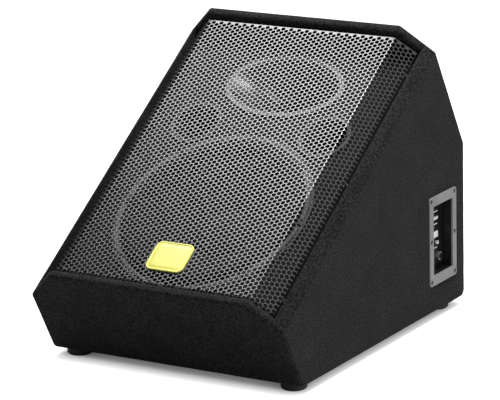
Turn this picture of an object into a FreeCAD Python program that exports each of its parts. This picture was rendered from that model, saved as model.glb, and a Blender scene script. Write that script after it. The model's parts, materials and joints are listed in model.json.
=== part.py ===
"""Stage monitor wedge: a carpeted wooden wedge cabinet with a folded steel grille, a 12-inch class
woofer, an elliptical horn with its compression driver, two round bass ports and a recessed socket
panel on its right-hand side.

Millimetres, +Z up, the grille faces -Y. The origin is the middle of the footprint, on the floor.
"""
import FreeCAD, Part
import math
import os
import re
import Sketcher

Vector = FreeCAD.Vector
Placement = FreeCAD.Placement
Rotation = FreeCAD.Rotation

doc = FreeCAD.newDocument("stage_monitor_wedge")
sheet = doc.addObject("Spreadsheet::Sheet", "Sizes")

SIZES = {
    # side profile, over the carpet
    "width": 400, "foot_height": 10.5, "baffle_angle": 33.5, "rim_length": 527,
    "toe_length": 145.7, "toe_lean": 28.8, "back_length": 217, "back_lean": 29.4,
    "flank_inset": 45, "carpet": 2, "board": 12, "edge_radius": 5, "beyond": 40,
    "heel_radius": 11, "foot_edge_radius": 11,
    "lining_depth": 47, "lip_radius": 6,
    # baffle board and the battens behind it
    "baffle_depth": 47, "baffle_board": 15, "batten_width": 18, "batten_gap": 20,
    # woofer: heights along the slope, radii, and depths below the rim plane
    "woofer_rise": 183, "woofer_hole": 137, "flange_radius": 146, "flange_inner": 131,
    "flange": 3, "basket_neck": 76, "basket_wall": 2, "basket_floor": 108, "ledge_inner": 60,
    "dish_floor": 118, "dish_inner": 40, "gasket_inner": 136.2, "gasket_outer": 141,
    "gasket": 2.5, "gasket_gap": 7, "window_inner": 84, "window_outer": 126, "window_turn": 21,
    "roll_radius": 8.5, "roll_centre": 122.5, "roll_sheet": 0.8, "lip": 5,
    "cone_rim": 114, "cone_neck": 26, "cone_top": 46, "cone_bottom": 96, "paper": 1.2,
    "cap_radius": 44, "cap_rise": 15, "cap_sheet": 1,
    "coil_inner": 25.5, "former": 0.4, "coil_outer": 26.4, "coil_top": 115, "coil_bottom": 129,
    "former_top": 92, "former_bottom": 134, "spider_outer": 70, "spider_sheet": 0.8,
    "spider_wave": 2.4, "gap_outer": 27, "pole_radius": 24.9, "pole_vent": 8, "pole_top": 117,
    "top_plate_radius": 62, "top_plate": 8, "magnet_radius": 72, "magnet_bore": 34,
    "magnet": 20, "back_plate_radius": 65, "back_plate": 8,
    # horn and compression driver
    "horn_rise": 427, "mouth_half_width": 86, "mouth_half_height": 52, "horn_rim": 7.2,
    "horn_proud": 4, "horn_length": 85, "horn_wall": 3, "throat": 12.7, "horn_pad": 6,
    "horn_pad_radius": 46, "yoke": 7, "driver_radius": 46, "driver_pole": 21.6,
    "driver_bore": 18, "driver_magnet": 14, "driver_magnet_bore": 30, "driver_plate": 7,
    "driver_plate_radius": 42, "driver_gap": 22.9, "dome_radius": 22, "dome_rise": 6.5,
    "dome_sheet": 0.5, "dome_coil": 0.4, "dome_coil_length": 7, "dome_stand": 1, "edge_ring": 27,
    "cover": 20, "cover_wall": 2.5, "driver_bolt_circle": 38,
    # bass ports
    "port_offset": 104, "port_rise": 341, "port_outer": 36.5, "port_bore": 34, "port_rim": 38.5,
    "port_length": 110,
    # grille tray and badge
    "grille_depth": 8, "grille_half": 152, "grille_flank": 29, "grille_sheet": 1,
    "grille_start": 14.5, "grille_length": 493, "grille_foot": 12,
    "badge_x": 4, "badge_rise": 67, "badge_width": 59, "badge_height": 50, "badge": 2.5,
    "badge_corner": 10, "badge_pin": 1.5, "badge_pin_offset": 18,
    # feet
    "foot_radius": 18, "foot_top_radius": 18.6, "foot_x": 172, "foot_front": -178,
    "foot_rear": 234, "foot_recess": 8, "foot_recess_depth": 7,
    # socket panel
    "plate_y": 202.4, "plate_z": 116.7, "plate_width": 82, "plate_height": 131,
    "plate_corner": 5, "plate": 2.5, "plate_proud": 1.5, "opening_width": 59,
    "opening_height": 102, "recess": 18, "tray_wall": 1.5, "tray_flange": 1, "cutout_slack": 0.5,
    "jack_y": 19, "jack_z": -35, "jack_bore": 3.25, "jack_bush": 4.7, "jack_nut": 6.6,
    "jack_length": 30, "jack_body": 16,
    "speaker_y": -13, "speaker_upper": 30, "speaker_lower": -12, "speaker_barrel": 12,
    "speaker_ring": 9.8, "speaker_core": 5, "speaker_depth": 15, "speaker_length": 24,
    "speaker_flange": 28, "switch_y": 12, "switch_z": -11, "switch_body": 10,
    "switch_tall": 17, "switch_slot": 4.4, "switch_slot_tall": 9, "slider": 4, "slider_rise": 4,
    # carrying handle
    "handle_y": 65, "handle_z": 175, "handle_width": 180, "handle_height": 100,
    "handle_corner": 16, "cup_width": 150, "cup_height": 64, "cup_depth": 48, "cup_wall": 3,
    "cup_corner": 14, "grip_radius": 11,
    # crossover, wadding and wiring
    "circuit_width": 130, "circuit_height": 84, "circuit": 1.6, "circuit_z": 112,
    "standoff": 8, "wadding_width": 290, "wadding_length": 300, "wadding": 20,
    "wadding_y": 20, "lead": 5,
    # screws: head radius, head height, shank radius
    "screw_head": 4, "screw_rise": 2.6, "screw_shank": 2, "screw_hole": 2.15, "screw_long": 14,
}


def fill_sheet():
    """Put every driving dimension in the sheet as a plain number with its name as alias."""
    for row, (name, number) in enumerate(SIZES.items(), start=1):
        sheet.set(f"A{row}", name)
        sheet.set(f"B{row}", str(number))
        sheet.setAlias(f"B{row}", name)
    doc.recompute()


def size(name):
    """Read one driving dimension from the sheet."""
    return float(sheet.get(name))


def formula(words):
    """Turn a formula in the sheet's own words into a FreeCAD expression."""
    return re.sub(r"[a-z][a-z_]*", lambda m: f"Sizes.{m[0]}" if m[0] in SIZES else m[0], str(words))


def bind(item, **formulas):
    """Bind an object's properties to formulas in the sheet's words."""
    for prop, words in formulas.items():
        item.setExpression(prop, formula(words))
    return item


# ---------------------------------------------------------------- the side profile
HALF_DEPTH = "((rim_length * cos(baffle_angle) + back_length * sin(back_lean)) / 2)"
TOE_TOP = "(foot_height + toe_length * cos(toe_lean))"
CREST = f"({TOE_TOP} + rim_length * sin(baffle_angle))"
EDGE_TURN = {
    "bottom": "0",
    "rear": "90",
    "back": "(90 + back_lean)",
    "rim": "(180 + baffle_angle)",
    "toe": "(270 + toe_lean)",
}
CORNERS = {
    "toe_foot": (f"(toe_length * sin(toe_lean) - {HALF_DEPTH})", "foot_height", "toe", "bottom"),
    "heel": (HALF_DEPTH, "foot_height", "bottom", "rear"),
    "bend": (HALF_DEPTH, f"({CREST} - back_length * cos(back_lean))", "rear", "back"),
    "crest": (f"({HALF_DEPTH} - back_length * sin(back_lean))", CREST, "back", "rim"),
    "lip": (f"(-{HALF_DEPTH})", TOE_TOP, "rim", "toe"),
}


def corner(name, first, second):
    """Formulas of a profile corner moved inward by first and second from its two edges."""
    across, upward, edge_in, edge_out = CORNERS[name]
    a, b = EDGE_TURN[edge_in], EDGE_TURN[edge_out]
    spread = f"sin({b} - {a})"
    y = f"{across} + (({first}) * cos({b}) - ({second}) * cos({a})) / {spread}"
    z = f"{upward} + (({first}) * sin({b}) - ({second}) * sin({a})) / {spread}"
    return y, z


def on_slope(x, rise, height):
    """Placement on the tilted baffle: x across, rise up the slope, height out of the rim plane."""
    turn = math.radians(size("baffle_angle"))
    half = (size("rim_length") * math.cos(turn)
            + size("back_length") * math.sin(math.radians(size("back_lean")))) / 2
    toe_top = size("foot_height") + size("toe_length") * math.cos(math.radians(size("toe_lean")))
    y = -half + rise * math.cos(turn) - height * math.sin(turn)
    z = toe_top + rise * math.sin(turn) + height * math.cos(turn)
    return Placement(Vector(x, y, z), Rotation(Vector(1, 0, 0), size("baffle_angle")))


# ---------------------------------------------------------------- small makers
def new_body(name, place=None):
    body = doc.addObject("PartDesign::Body", name)
    body.Placement = place or Placement()
    return body


def new_sketch(body, role, lift="0"):
    """A sketch on one of the body's own origin planes, lifted along the plane's normal."""
    sketch = body.newObject("Sketcher::SketchObject", f"{body.Name}_sketch")
    plane = next(p for p in body.Origin.OriginFeatures if p.Role == role)
    sketch.AttachmentSupport = [(plane, "")]
    sketch.MapMode = "FlatFace"
    sketch.setExpression("AttachmentOffset.Base.z", formula(lift))
    return sketch


def pin_point(sketch, geometry, spot, x, y):
    """Hold one point of a sketch at two formulas from the sketch's origin."""
    for kind, words in (("DistanceX", x), ("DistanceY", y)):
        index = sketch.addConstraint(Sketcher.Constraint(kind, -1, 1, geometry, spot, 1.0))
        sketch.renameConstraint(index, f"hold{index}")
        sketch.setExpression(f"Constraints.hold{index}", formula(words))


def outline(sketch, corners):
    """Close a polygon through corners given as pairs of formulas."""
    count = len(corners)
    start = sketch.GeometryCount
    ring = [Vector(100 * math.cos(math.tau * k / count), 100 * math.sin(math.tau * k / count), 0)
            for k in range(count)]
    for k in range(count):
        sketch.addGeometry(Part.LineSegment(ring[k], ring[(k + 1) % count]), False)
    for k in range(count):
        following = start + (k + 1) % count
        sketch.addConstraint(Sketcher.Constraint("Coincident", start + k, 2, following, 1))
    for k, (x, y) in enumerate(corners):
        pin_point(sketch, start + k, 1, x, y)


def oblong(sketch, half_width, half_height, x="0", y="0"):
    """A rectangle about (x, y)."""
    outline(sketch, [(f"{x} - ({half_width})", f"{y} - ({half_height})"),
                     (f"{x} + ({half_width})", f"{y} - ({half_height})"),
                     (f"{x} + ({half_width})", f"{y} + ({half_height})"),
                     (f"{x} - ({half_width})", f"{y} + ({half_height})")])


def pad(body, sketch, length, reverse=False, both=False):
    feature = body.newObject("PartDesign::Pad", f"{body.Name}_pad")
    feature.Profile = sketch
    feature.Reversed = reverse
    feature.Midplane = both
    return bind(feature, Length=length)


def pocket(body, sketch, length=None, reverse=False, both=False):
    """Cut a sketch into the body, through everything where no length is given."""
    feature = body.newObject("PartDesign::Pocket", f"{body.Name}_pocket")
    feature.Profile = sketch
    feature.Reversed = reverse
    feature.Midplane = both
    if length is None:
        feature.Type = 1
        return feature
    return bind(feature, Length=length)


def turned(name, profile, place):
    """A solid of revolution about the local Z axis from (radius, height) corners."""
    body = new_body(name, place)
    sketch = new_sketch(body, "XZ_Plane")
    outline(sketch, profile)
    feature = body.newObject("PartDesign::Revolution", f"{name}_turn")
    feature.Profile = sketch
    feature.ReferenceAxis = (sketch, ["V_Axis"])
    feature.Angle = 360
    return body


def tube(name, inner, outer, low, high, place):
    """A plain ring or tube about the local Z axis."""
    return turned(name, [(inner, low), (outer, low), (outer, high), (inner, high)], place)


def around(body, feature, count):
    """Repeat a feature of a body evenly about the body's Z axis."""
    pattern = body.newObject("PartDesign::PolarPattern", f"{body.Name}_round")
    pattern.Originals = [feature]
    axis = next(a for a in body.Origin.OriginFeatures if a.Role == "Z_Axis")
    pattern.Axis = (axis, [""])
    pattern.Angle = 360
    pattern.Occurrences = count
    body.Tip = pattern


def solid(kind, name, place=None, **formulas):
    """A Part primitive whose sizes are bound to formulas."""
    item = bind(doc.addObject(f"Part::{kind}", name), **formulas)
    item.Placement = place or Placement()
    return item


def block(name, low, sizes, place=None):
    """A box from its lowest corner; sizes are formulas."""
    shift = Placement(Vector(*low), Rotation())
    spot = place.multiply(shift) if place else shift
    return solid("Box", name, spot, Length=sizes[0], Width=sizes[1], Height=sizes[2])


def rod(name, radius, length, place):
    return solid("Cylinder", name, place, Radius=radius, Height=length)


def joined(name, items):
    item = doc.addObject("Part::MultiFuse", name)
    item.Shapes = items
    return item


def group(name, items):
    """Several separate solids that share one node."""
    item = doc.addObject("Part::Compound", name)
    item.Links = items
    return item


def cut(name, base, tool):
    item = doc.addObject("Part::Cut", name)
    item.Base = base
    item.Tool = tool
    return item


def shared(name, base, tool):
    item = doc.addObject("Part::Common", name)
    item.Base = base
    item.Tool = tool
    return item


def screw(name, place, shank="screw_long", head="screw_head", core="screw_shank"):
    """A pan-head screw whose head stands on the place, along its +Z, with the shank below."""
    below = place.multiply(Placement(Vector(0, 0, -float(doc_value(shank))), Rotation()))
    top = rod(f"{name}_head", head, "screw_rise", place)
    stem = rod(f"{name}_shank", core, shank, below)
    return joined(name, [top, stem])


def doc_value(words):
    """The number behind one sheet name or a plain number."""
    return size(words) if words in SIZES else float(words)


def turned_place(x, y, z, axis, degrees):
    return Placement(Vector(x, y, z), Rotation(Vector(*axis), degrees))


parts = {}


def keep(item, label=None):
    """Register an object as a sub-part under its label."""
    item.Label = label or item.Name
    parts[item.Label] = item
    return item


# ---------------------------------------------------------------- cabinet
def wedge_form(name, inset, reach, radius):
    """The closed wedge, moved inward by inset, with 45 degree flanks and rounded edges."""
    body = new_body(name)
    side = new_sketch(body, "YZ_Plane")
    outline(side, [corner(c, inset, inset) for c in CORNERS])
    block_pad = pad(body, side, f"2 * ({reach})", both=True)
    doc.recompute()
    for label, spot, rounded in (("heel", (half_depth(), size("foot_height")), "heel_radius"),
                                 ("toe", toe_foot_spot(), "foot_edge_radius")):
        profile = body.newObject("PartDesign::Fillet", f"{name}_{label}_rounding")
        profile.Base = (block_pad, [f"Edge{k}" for k, edge in
                                    enumerate(block_pad.Shape.Edges, start=1)
                                    if along_width(edge) and near(edge, spot, 8)])
        block_pad = bind(profile, Radius=f"{rounded} - ({inset})")
        doc.recompute()
    across = new_sketch(body, "XZ_Plane", f"{HALF_DEPTH}")
    across.setExpression("AttachmentOffset.Base.y", formula(TOE_TOP))
    across.AttachmentOffset = Placement(across.AttachmentOffset.Base,
                                        Rotation(Vector(1, 0, 0), size("baffle_angle")))
    start = f"(width / 2 - flank_inset - ({inset}) * sqrt(2))"
    for side_sign in ("", "-"):
        outline(across, [(f"{side_sign}({start} - beyond)", "beyond"),
                         (f"{side_sign}({start} + 2 * beyond)", "beyond"),
                         (f"{side_sign}({start} + 2 * beyond)", "-2 * beyond")])
    flanks = pocket(body, across, both=True)
    doc.recompute()
    bend = (half_depth(), crest_height() - size("back_length") * math.cos(back_turn()))
    kept_sharp = [(half_depth(), size("foot_height")), toe_foot_spot()]
    rounding = body.newObject("PartDesign::Fillet", f"{name}_rounding")
    rounding.Base = (flanks, [f"Edge{k}" for k, edge in enumerate(flanks.Shape.Edges, start=1)
                              if not along_width(edge) or not any(
                                  near(edge, spot, 20) for spot in kept_sharp)
                              or near(edge, bend, 8)])
    bind(rounding, Radius=radius)
    return body


def along_width(edge):
    """Whether an edge runs straight across the cabinet."""
    first, last = edge.Vertexes[0].Point, edge.Vertexes[-1].Point
    run = last - first
    return run.Length > 1 and abs(run.x) > 0.999 * run.Length


def near(edge, spot, reach):
    """Whether an edge across the cabinet passes within reach of a point (y, z)."""
    point = edge.Vertexes[0].Point
    return math.hypot(point.y - spot[0], point.z - spot[1]) < reach


def back_turn():
    return math.radians(size("back_lean"))


def crest_height():
    """Height of the crest, where the slope meets the top-back face."""
    rise = size("rim_length") * math.sin(math.radians(size("baffle_angle")))
    return size("foot_height") + size("toe_length") * math.cos(toe_turn()) + rise


def toe_turn():
    return math.radians(size("toe_lean"))


def toe_foot_spot():
    """Where the toe board's face meets the bottom, as (y, z)."""
    return size("toe_length") * math.sin(toe_turn()) - half_depth(), size("foot_height")


def soften_lip(opened):
    """Round the edge where the carpet turns over the front and top lips of the opening."""
    reach = 2 * (size("carpet") + size("board")) + 2
    low = on_slope(0, 0, 0).inverse()
    item = doc.addObject("Part::Fillet", "lip_rounding")
    item.Base = opened
    edges = []
    for number, edge in enumerate(opened.Shape.Edges, start=1):
        spots = [low.multVec(v.Point) for v in edge.Vertexes]
        flat = all(abs(p.z) < 0.01 and reach / 4 < p.y < size("rim_length") - reach / 4
                   for p in spots)
        if flat and abs(spots[0].x - spots[-1].x) > 1:
            edges.append((number, size("lip_radius"), size("lip_radius")))
    item.Edges = edges
    return item


def side_prism(name, corners, half_width):
    """A prism across the cabinet from corners of the side profile."""
    body = new_body(name)
    sketch = new_sketch(body, "YZ_Plane")
    outline(sketch, corners)
    pad(body, sketch, f"2 * ({half_width})", both=True)
    return body


def make_cabinet():
    """Boards, carpet and the opening that the baffle and grille sit in."""
    outer = wedge_form("outer_form", "0", "width / 2", "edge_radius")
    core = wedge_form("core_form", "carpet", "width / 2 - carpet", "edge_radius - carpet")
    wall, out = "(carpet + board)", "-10"
    inner_half = "width / 2 - carpet - board"
    opening = side_prism("opening_form", [corner("lip", out, wall), corner("crest", wall, out),
                         corner("crest", wall, "baffle_depth"),
                         corner("lip", "baffle_depth", wall)], inner_half)
    rebate = side_prism("rebate_form", [corner("lip", out, "board"), corner("crest", "board", out),
                        corner("crest", "board", "lining_depth"),
                        corner("lip", "lining_depth", "board")], f"{inner_half} + carpet")
    opened = cut("outer_open", outer, opening)
    core = cut("core_rebated", core, rebate)
    doc.recompute()
    lip = soften_lip(opened)
    regions = {
        "bottom_board": [corner("toe_foot", out, out), corner("heel", out, out),
                         corner("heel", wall, wall), corner("toe_foot", wall, wall)],
        "rear_board": [corner("heel", out, out), corner("bend", out, out),
                       corner("bend", wall, wall), corner("heel", wall, wall)],
        "top_back_board": [corner("bend", out, out), corner("crest", out, out),
                           corner("crest", wall, out), corner("bend", wall, wall)],
        "toe_board": [corner("lip", out, out), corner("toe_foot", out, out),
                      corner("toe_foot", wall, wall), corner("lip", out, wall)],
    }
    boards = {}
    for name, corners in regions.items():
        region = side_prism(f"{name}_region", corners, inner_half)
        boards[name] = shared(name, core, region)
    shell = cut("carpet_shell", lip, core)
    half, tall = size("width") / 2, 600
    edge = half - size("carpet")
    right_slab = block("right_slab", (edge - size("board"), -tall, -tall),
                       ("board", 2 * tall, 2 * tall))
    left_slab = block("left_slab", (-edge, -tall, -tall), ("board", 2 * tall, 2 * tall))
    right_skin = block("right_skin", (edge, -tall, -tall), ("beyond", 2 * tall, 2 * tall))
    left_skin = block("left_skin", (-edge - size("beyond"), -tall, -tall),
                      ("beyond", 2 * tall, 2 * tall))
    middle = block("middle_slab", (-edge, -tall, -tall),
                   ("width - 2 * carpet", 2 * tall, 2 * tall))
    right_board = shared("right_board_blank", core, right_slab)
    left_board = shared("left_board_blank", core, left_slab)
    right_carpet = shared("right_carpet_blank", shell, right_skin)
    left_carpet = shared("left_carpet_blank", shell, left_skin)
    wrap = shared("carpet_wrap_blank", shell, middle)
    return boards, right_board, left_board, right_carpet, left_carpet, wrap


def side_window(name, y, z, width, height, right=True):
    """A block that passes through one side wall at a place on it."""
    reach = size("width") / 2
    low = reach - size("beyond") if right else -reach - size("beyond")
    return block(name, (low, y - doc_value(width) / 2, z - doc_value(height) / 2),
                 ("2 * beyond", width, height))


def panel_pilots():
    """Pilot holes for the panel's screws, in the right side board."""
    edge = size("width") / 2 - size("carpet") - size("board") - 1
    place = side_frame(edge, size("plate_y"), size("plate_z"))
    return [rod(f"panel_pilot{k}", "1.8", 14, place.multiply(Placement(Vector(y, z, 0),
            Rotation()))) for k, (y, z) in enumerate(plate_screw_spots())]


def handle_screw_spots():
    """Six places on the handle's flange."""
    return [(sx * (size("handle_width") / 2 - 9), sy * (size("handle_height") / 2 - 8))
            for sx in (-1, 0, 1) for sy in (-1, 1)]


def handle_pilots():
    """Pilot holes for the handle's screws, in the left side board."""
    edge = size("width") / 2 - size("carpet") - size("board") - 1
    place = side_frame(-edge, size("handle_y"), size("handle_z"), right=False)
    return [rod(f"handle_pilot{k}", "2.1", 14, place.multiply(Placement(Vector(y, z, 0),
            Rotation()))) for k, (y, z) in enumerate(handle_screw_spots())]


def foot_spots():
    return [(sx * size("foot_x"), size(row)) for sx in (-1, 1) for row in ("foot_front", "foot_rear")]


def make_sides():
    """Cut the openings in the boards and carpets, and register the cabinet's pieces."""
    boards, right_board, left_board, right_carpet, left_carpet, wrap = make_cabinet()
    slack = 2 * size("cutout_slack") + 2 * size("tray_wall")
    window = block("socket_window", (size("width") / 2 - size("beyond"),
                   size("plate_y") - (size("opening_width") + slack) / 2,
                   size("plate_z") - (size("opening_height") + slack) / 2),
                   ("2 * beyond", f"opening_width + {slack}", f"opening_height + {slack}"))
    keep(cut("right_side_board", right_board, group("right_tools", [window] + panel_pilots())))
    plate_hole = side_window("plate_window", size("plate_y"), size("plate_z"), "plate_width",
                             "plate_height")
    keep(cut("right_carpet", right_carpet, plate_hole))
    cup_slack = 2 * (size("cup_wall") + size("cutout_slack"))
    reach = -size("width") / 2 - size("beyond")
    cup_hole = block("cup_window", (reach, size("handle_y") - (size("cup_width") + cup_slack) / 2,
                     size("handle_z") - (size("cup_height") + cup_slack) / 2),
                     ("2 * beyond", f"cup_width + {cup_slack}", f"cup_height + {cup_slack}"))
    keep(cut("left_side_board", left_board, group("left_tools", [cup_hole] + handle_pilots())))
    flange_hole = side_window("flange_window", size("handle_y"), size("handle_z"),
                              "handle_width", "handle_height", right=False)
    keep(cut("left_carpet", left_carpet, flange_hole))
    for name in ("rear_board", "top_back_board", "toe_board"):
        keep(boards[name])
    holes, pads = [], []
    for k, (x, y) in enumerate(foot_spots()):
        holes.append(rod(f"foot_hole{k}", "screw_hole", 30,
                         Placement(Vector(x, y, 0), Rotation())))
        pads.append(rod(f"foot_seat{k}", "foot_top_radius", "foot_height + carpet",
                        Placement(Vector(x, y, 0), Rotation())))
    boards["bottom_board"].Label = "bottom_board_blank"
    keep(cut("bottom_board_drilled", boards["bottom_board"], group("foot_holes", holes)),
         "bottom_board")
    keep(cut("carpet_wrap_open", wrap, group("foot_seats", pads)), "carpet_wrap")


def make_baffle():
    """The tilted board that carries the drivers and ports, and the battens behind it."""
    wall = "(carpet + board)"
    back = "(baffle_depth + baffle_board)"
    blank = side_prism("baffle_blank", [corner("lip", "baffle_depth", wall),
                       corner("crest", wall, "baffle_depth"), corner("crest", wall, back),
                       corner("lip", back, wall)], "width / 2 - carpet - board")
    depth = size("baffle_depth") + 60
    tools = [rod("woofer_opening", "woofer_hole", 120, on_slope(0, size("woofer_rise"), -depth))]
    for side in (-1, 1):
        spot = on_slope(side * size("port_offset"), size("port_rise"), -depth)
        tools.append(rod(f"port_opening{side + 1}", "port_outer + 0.2", 120, spot))
    tools.append(ellipse_prism("horn_opening", "mouth_half_width + horn_wall - 0.5",
                               "mouth_half_height + horn_wall - 0.5", 120,
                               on_slope(0, size("horn_rise"), -depth)))
    for k, spot in enumerate(woofer_screw_spots() + grille_screw_spots()):
        pilot = spot.multiply(Placement(Vector(0, 0, -12), Rotation()))
        tools.append(rod(f"pilot{k}", "screw_hole", 30, pilot))
        pilot.Base = spot.multVec(Vector(0, 0, -20))
        tools[-1].Placement = pilot
    keep(cut("baffle_drilled", blank, joined("baffle_tools", tools)), "baffle_board")
    half = size("width") / 2 - size("carpet") - size("board")
    low = -size("baffle_depth") - size("baffle_board") - size("batten_width")
    length = size("rim_length") - 4 * size("batten_gap")
    bars = []
    for side in (0, 1):
        x = half - size("batten_width") if side else -half
        bars.append(block(f"batten{side}", (x, size("batten_gap"), low),
                          ("batten_width", length, "batten_width"), on_slope(0, 0, 0)))
    keep(group("baffle_battens", bars))


def ellipse_prism(name, half_width, half_height, length, place):
    """An upright elliptical column."""
    lower = solid("Ellipse", f"{name}_low", place, MajorRadius=half_width,
                  MinorRadius=half_height)
    lift = Placement(Vector(0, 0, float(length)), Rotation())
    upper = solid("Ellipse", f"{name}_high", place.multiply(lift), MajorRadius=half_width,
                  MinorRadius=half_height)
    return loft(name, [lower, upper])


def loft(name, sections):
    item = doc.addObject("Part::Loft", name)
    item.Sections = sections
    item.Solid = True
    item.Ruled = len(sections) == 2
    return item


# ---------------------------------------------------------------- woofer
def woofer_place():
    return on_slope(0, size("woofer_rise"), 0)


def woofer_screw_spots():
    """Eight places on the woofer's flange, 45 degrees apart, in the gaps of the gasket."""
    radius = (size("gasket_inner") + size("gasket_outer")) / 2
    top = size("flange") - size("baffle_depth")
    return [woofer_place().multiply(Placement(Vector(radius * math.cos(k * math.pi / 4),
            radius * math.sin(k * math.pi / 4), top), Rotation())) for k in range(8)]


def make_woofer():
    """Basket, gasket, cone with its surround, spider and coil, and the magnet."""
    place = woofer_place()
    face = "(flange - baffle_depth)"
    frame = turned("woofer_frame", [
        ("flange_inner", face), ("flange_radius", face), ("flange_radius", "-baffle_depth"),
        ("flange_inner + basket_wall + 2", "-baffle_depth"),
        ("basket_neck + basket_wall", "-basket_floor - basket_wall"),
        ("ledge_inner + basket_wall", "-basket_floor - basket_wall"),
        ("ledge_inner + basket_wall", "-dish_floor"), ("dish_inner", "-dish_floor"),
        ("dish_inner", "basket_wall - dish_floor"),
        ("ledge_inner", "basket_wall - dish_floor"), ("ledge_inner", "-basket_floor"),
        ("basket_neck", "-basket_floor"), ("flange_inner", "-baffle_depth")], place)
    window = new_sketch(frame, "XY_Plane", "-baffle_depth - 4")
    outline(window, [
        ("window_inner * cos(window_turn)", "-window_inner * sin(window_turn)"),
        ("window_outer * cos(window_turn)", "-window_outer * sin(window_turn)"),
        ("window_outer * cos(window_turn)", "window_outer * sin(window_turn)"),
        ("window_inner * cos(window_turn)", "window_inner * sin(window_turn)")])
    opening = pocket(frame, window, "basket_floor - baffle_depth - 6")
    doc.recompute()
    around(frame, opening, 6)
    doc.recompute()
    holes = group("flange_holes", [rod(f"flange_hole{k}", "screw_hole", 12,
                  spot.multiply(Placement(Vector(0, 0, -6), Rotation())))
                  for k, spot in enumerate(woofer_screw_spots())])
    frame.Label = "woofer_frame_blank"
    keep(cut("woofer_frame_drilled", frame, holes), "woofer_frame")
    keep(group("woofer_gasket", [gasket_piece(k) for k in range(8)]))
    keep(group("woofer_screws", [screw(f"woofer_screw{k}", spot)
                                 for k, spot in enumerate(woofer_screw_spots())]))
    make_moving_cone(place, face)
    make_magnet(place)
    strip = block("terminal_strip", (-12, size("ledge_inner") + 4, -size("basket_floor") - 4),
                  (24, 30, 2), place)
    blades = [block(f"terminal_blade{side}", (x, size("ledge_inner") + 34,
              -size("basket_floor") - 3.4), (3, 8, 0.8), place)
              for side, x in enumerate((-8, 5))]
    keep(group("woofer_terminals", [strip] + blades))


def gasket_piece(k):
    """One of eight curved cork strips that stand on the woofer's flange between the screws."""
    middle = (size("gasket_inner") + size("gasket_outer")) / 2
    turn = 45 - 2 * math.degrees(size("gasket_gap") / middle)
    low = woofer_place().multiply(Placement(Vector(0, 0, size("flange") - size("baffle_depth")),
                                  Rotation(Vector(0, 0, 1), 45 * k + (45 - turn) / 2)))
    full = solid("Cylinder", f"gasket_outer{k}", low, Radius="gasket_outer", Height="gasket",
                 Angle=str(turn))
    bore = rod(f"gasket_bore{k}", "gasket_inner", "gasket", low)
    return cut(f"gasket_piece{k}", full, bore)


def make_moving_cone(place, face):
    keep(turned("woofer_cone", [
        ("cone_neck", "-cone_bottom"), ("cone_neck + 4", "-cone_bottom"),
        ("cone_rim - lip", "-cone_top"), ("cone_rim", "-cone_top"),
        ("cone_rim", "-cone_top - paper"), ("cone_rim - lip + 0.6", "-cone_top - paper"),
        ("cone_neck + 4.6", "-cone_bottom - paper"), ("cone_neck", "-cone_bottom - paper")], place))
    roll_place = place.multiply(Placement(Vector(0, 0, roll_base()), Rotation()))
    outer = solid("Torus", "roll_outer", roll_place, Radius1="roll_centre", Radius2="roll_radius")
    inner = solid("Torus", "roll_inner", roll_place, Radius1="roll_centre",
                  Radius2="roll_radius - roll_sheet")
    lower = rod("roll_lower", "flange_radius", 20,
                place.multiply(Placement(Vector(0, 0, roll_base() - 20), Rotation())))
    roll = cut("roll", cut("roll_tube", outer, inner), lower)
    inner_lip = tube("inner_lip", "cone_rim - lip", "cone_rim + roll_sheet",
                     "-cone_top", "roll_sheet - cone_top", place)
    outer_lip = tube("outer_lip", "flange_inner - roll_sheet", "flange_inner + 3", face,
                     f"{face} + roll_sheet", place)
    neck = tube("outer_step", "flange_inner - roll_sheet", "flange_inner", "-cone_top",
                f"{face} + roll_sheet", place)
    keep(joined("woofer_surround", [roll, inner_lip, outer_lip, neck]))
    cap_sphere = size("cap_radius") ** 2 / (2 * size("cap_rise")) + size("cap_rise") / 2
    drop = cone_height(size("cap_radius")) + size("cap_rise") - cap_sphere
    centre = place.multiply(Placement(Vector(0, 0, drop), Rotation()))
    ball = rod_ball("cap_ball", f"{cap_sphere}", centre)
    hollow = rod_ball("cap_hollow", f"{cap_sphere} - cap_sheet", centre)
    keep_zone = rod("cap_zone", "cap_radius", 60, place.multiply(Placement(
        Vector(0, 0, cone_height(size("cap_radius")) + 0.3), Rotation())))
    keep(shared("dust_cap", cut("cap_skin", ball, hollow), keep_zone))
    former = tube("coil_former", "coil_inner", "coil_inner + former", "-former_bottom",
                  "-former_top", place)
    winding = tube("coil_winding", "coil_inner + former", "coil_outer", "-coil_bottom",
                   "-coil_top", place)
    keep(joined("voice_coil", [former, winding]))
    keep(make_spider(place))


def roll_base():
    """Height of the surround's roll centre over the rim plane."""
    return size("roll_sheet") - size("cone_top")


def cone_height(radius):
    """Height of the cone's front face at a radius, from its straight flare."""
    run = size("cone_rim") - size("lip") - size("cone_neck") - 4
    share = (radius - size("cone_neck") - 4) / run
    return -size("cone_bottom") + share * (size("cone_bottom") - size("cone_top"))


def rod_ball(name, radius, place):
    return solid("Sphere", name, place, Radius=radius)


def make_spider(place):
    """The corrugated disc between the coil former and the basket's ledge."""
    inner, outer, base = size("coil_outer"), size("spider_outer"), -size("basket_floor")
    steps = 9
    upper, lower = [], []
    for k in range(steps):
        radius = inner + (outer - 8 - inner) * k / (steps - 1)
        wave = (k % 2) * size("spider_wave")
        upper.append((f"{radius}", f"{base + wave} + spider_sheet"))
        lower.append((f"{radius}", f"{base + wave}"))
    upper.append((f"{outer}", f"{base} + spider_sheet"))
    lower.append((f"{outer}", f"{base}"))
    upper[0] = ("coil_inner + former", upper[0][1])
    lower[0] = ("coil_inner + former", lower[0][1])
    return turned("woofer_spider", upper + lower[::-1], place)


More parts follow.
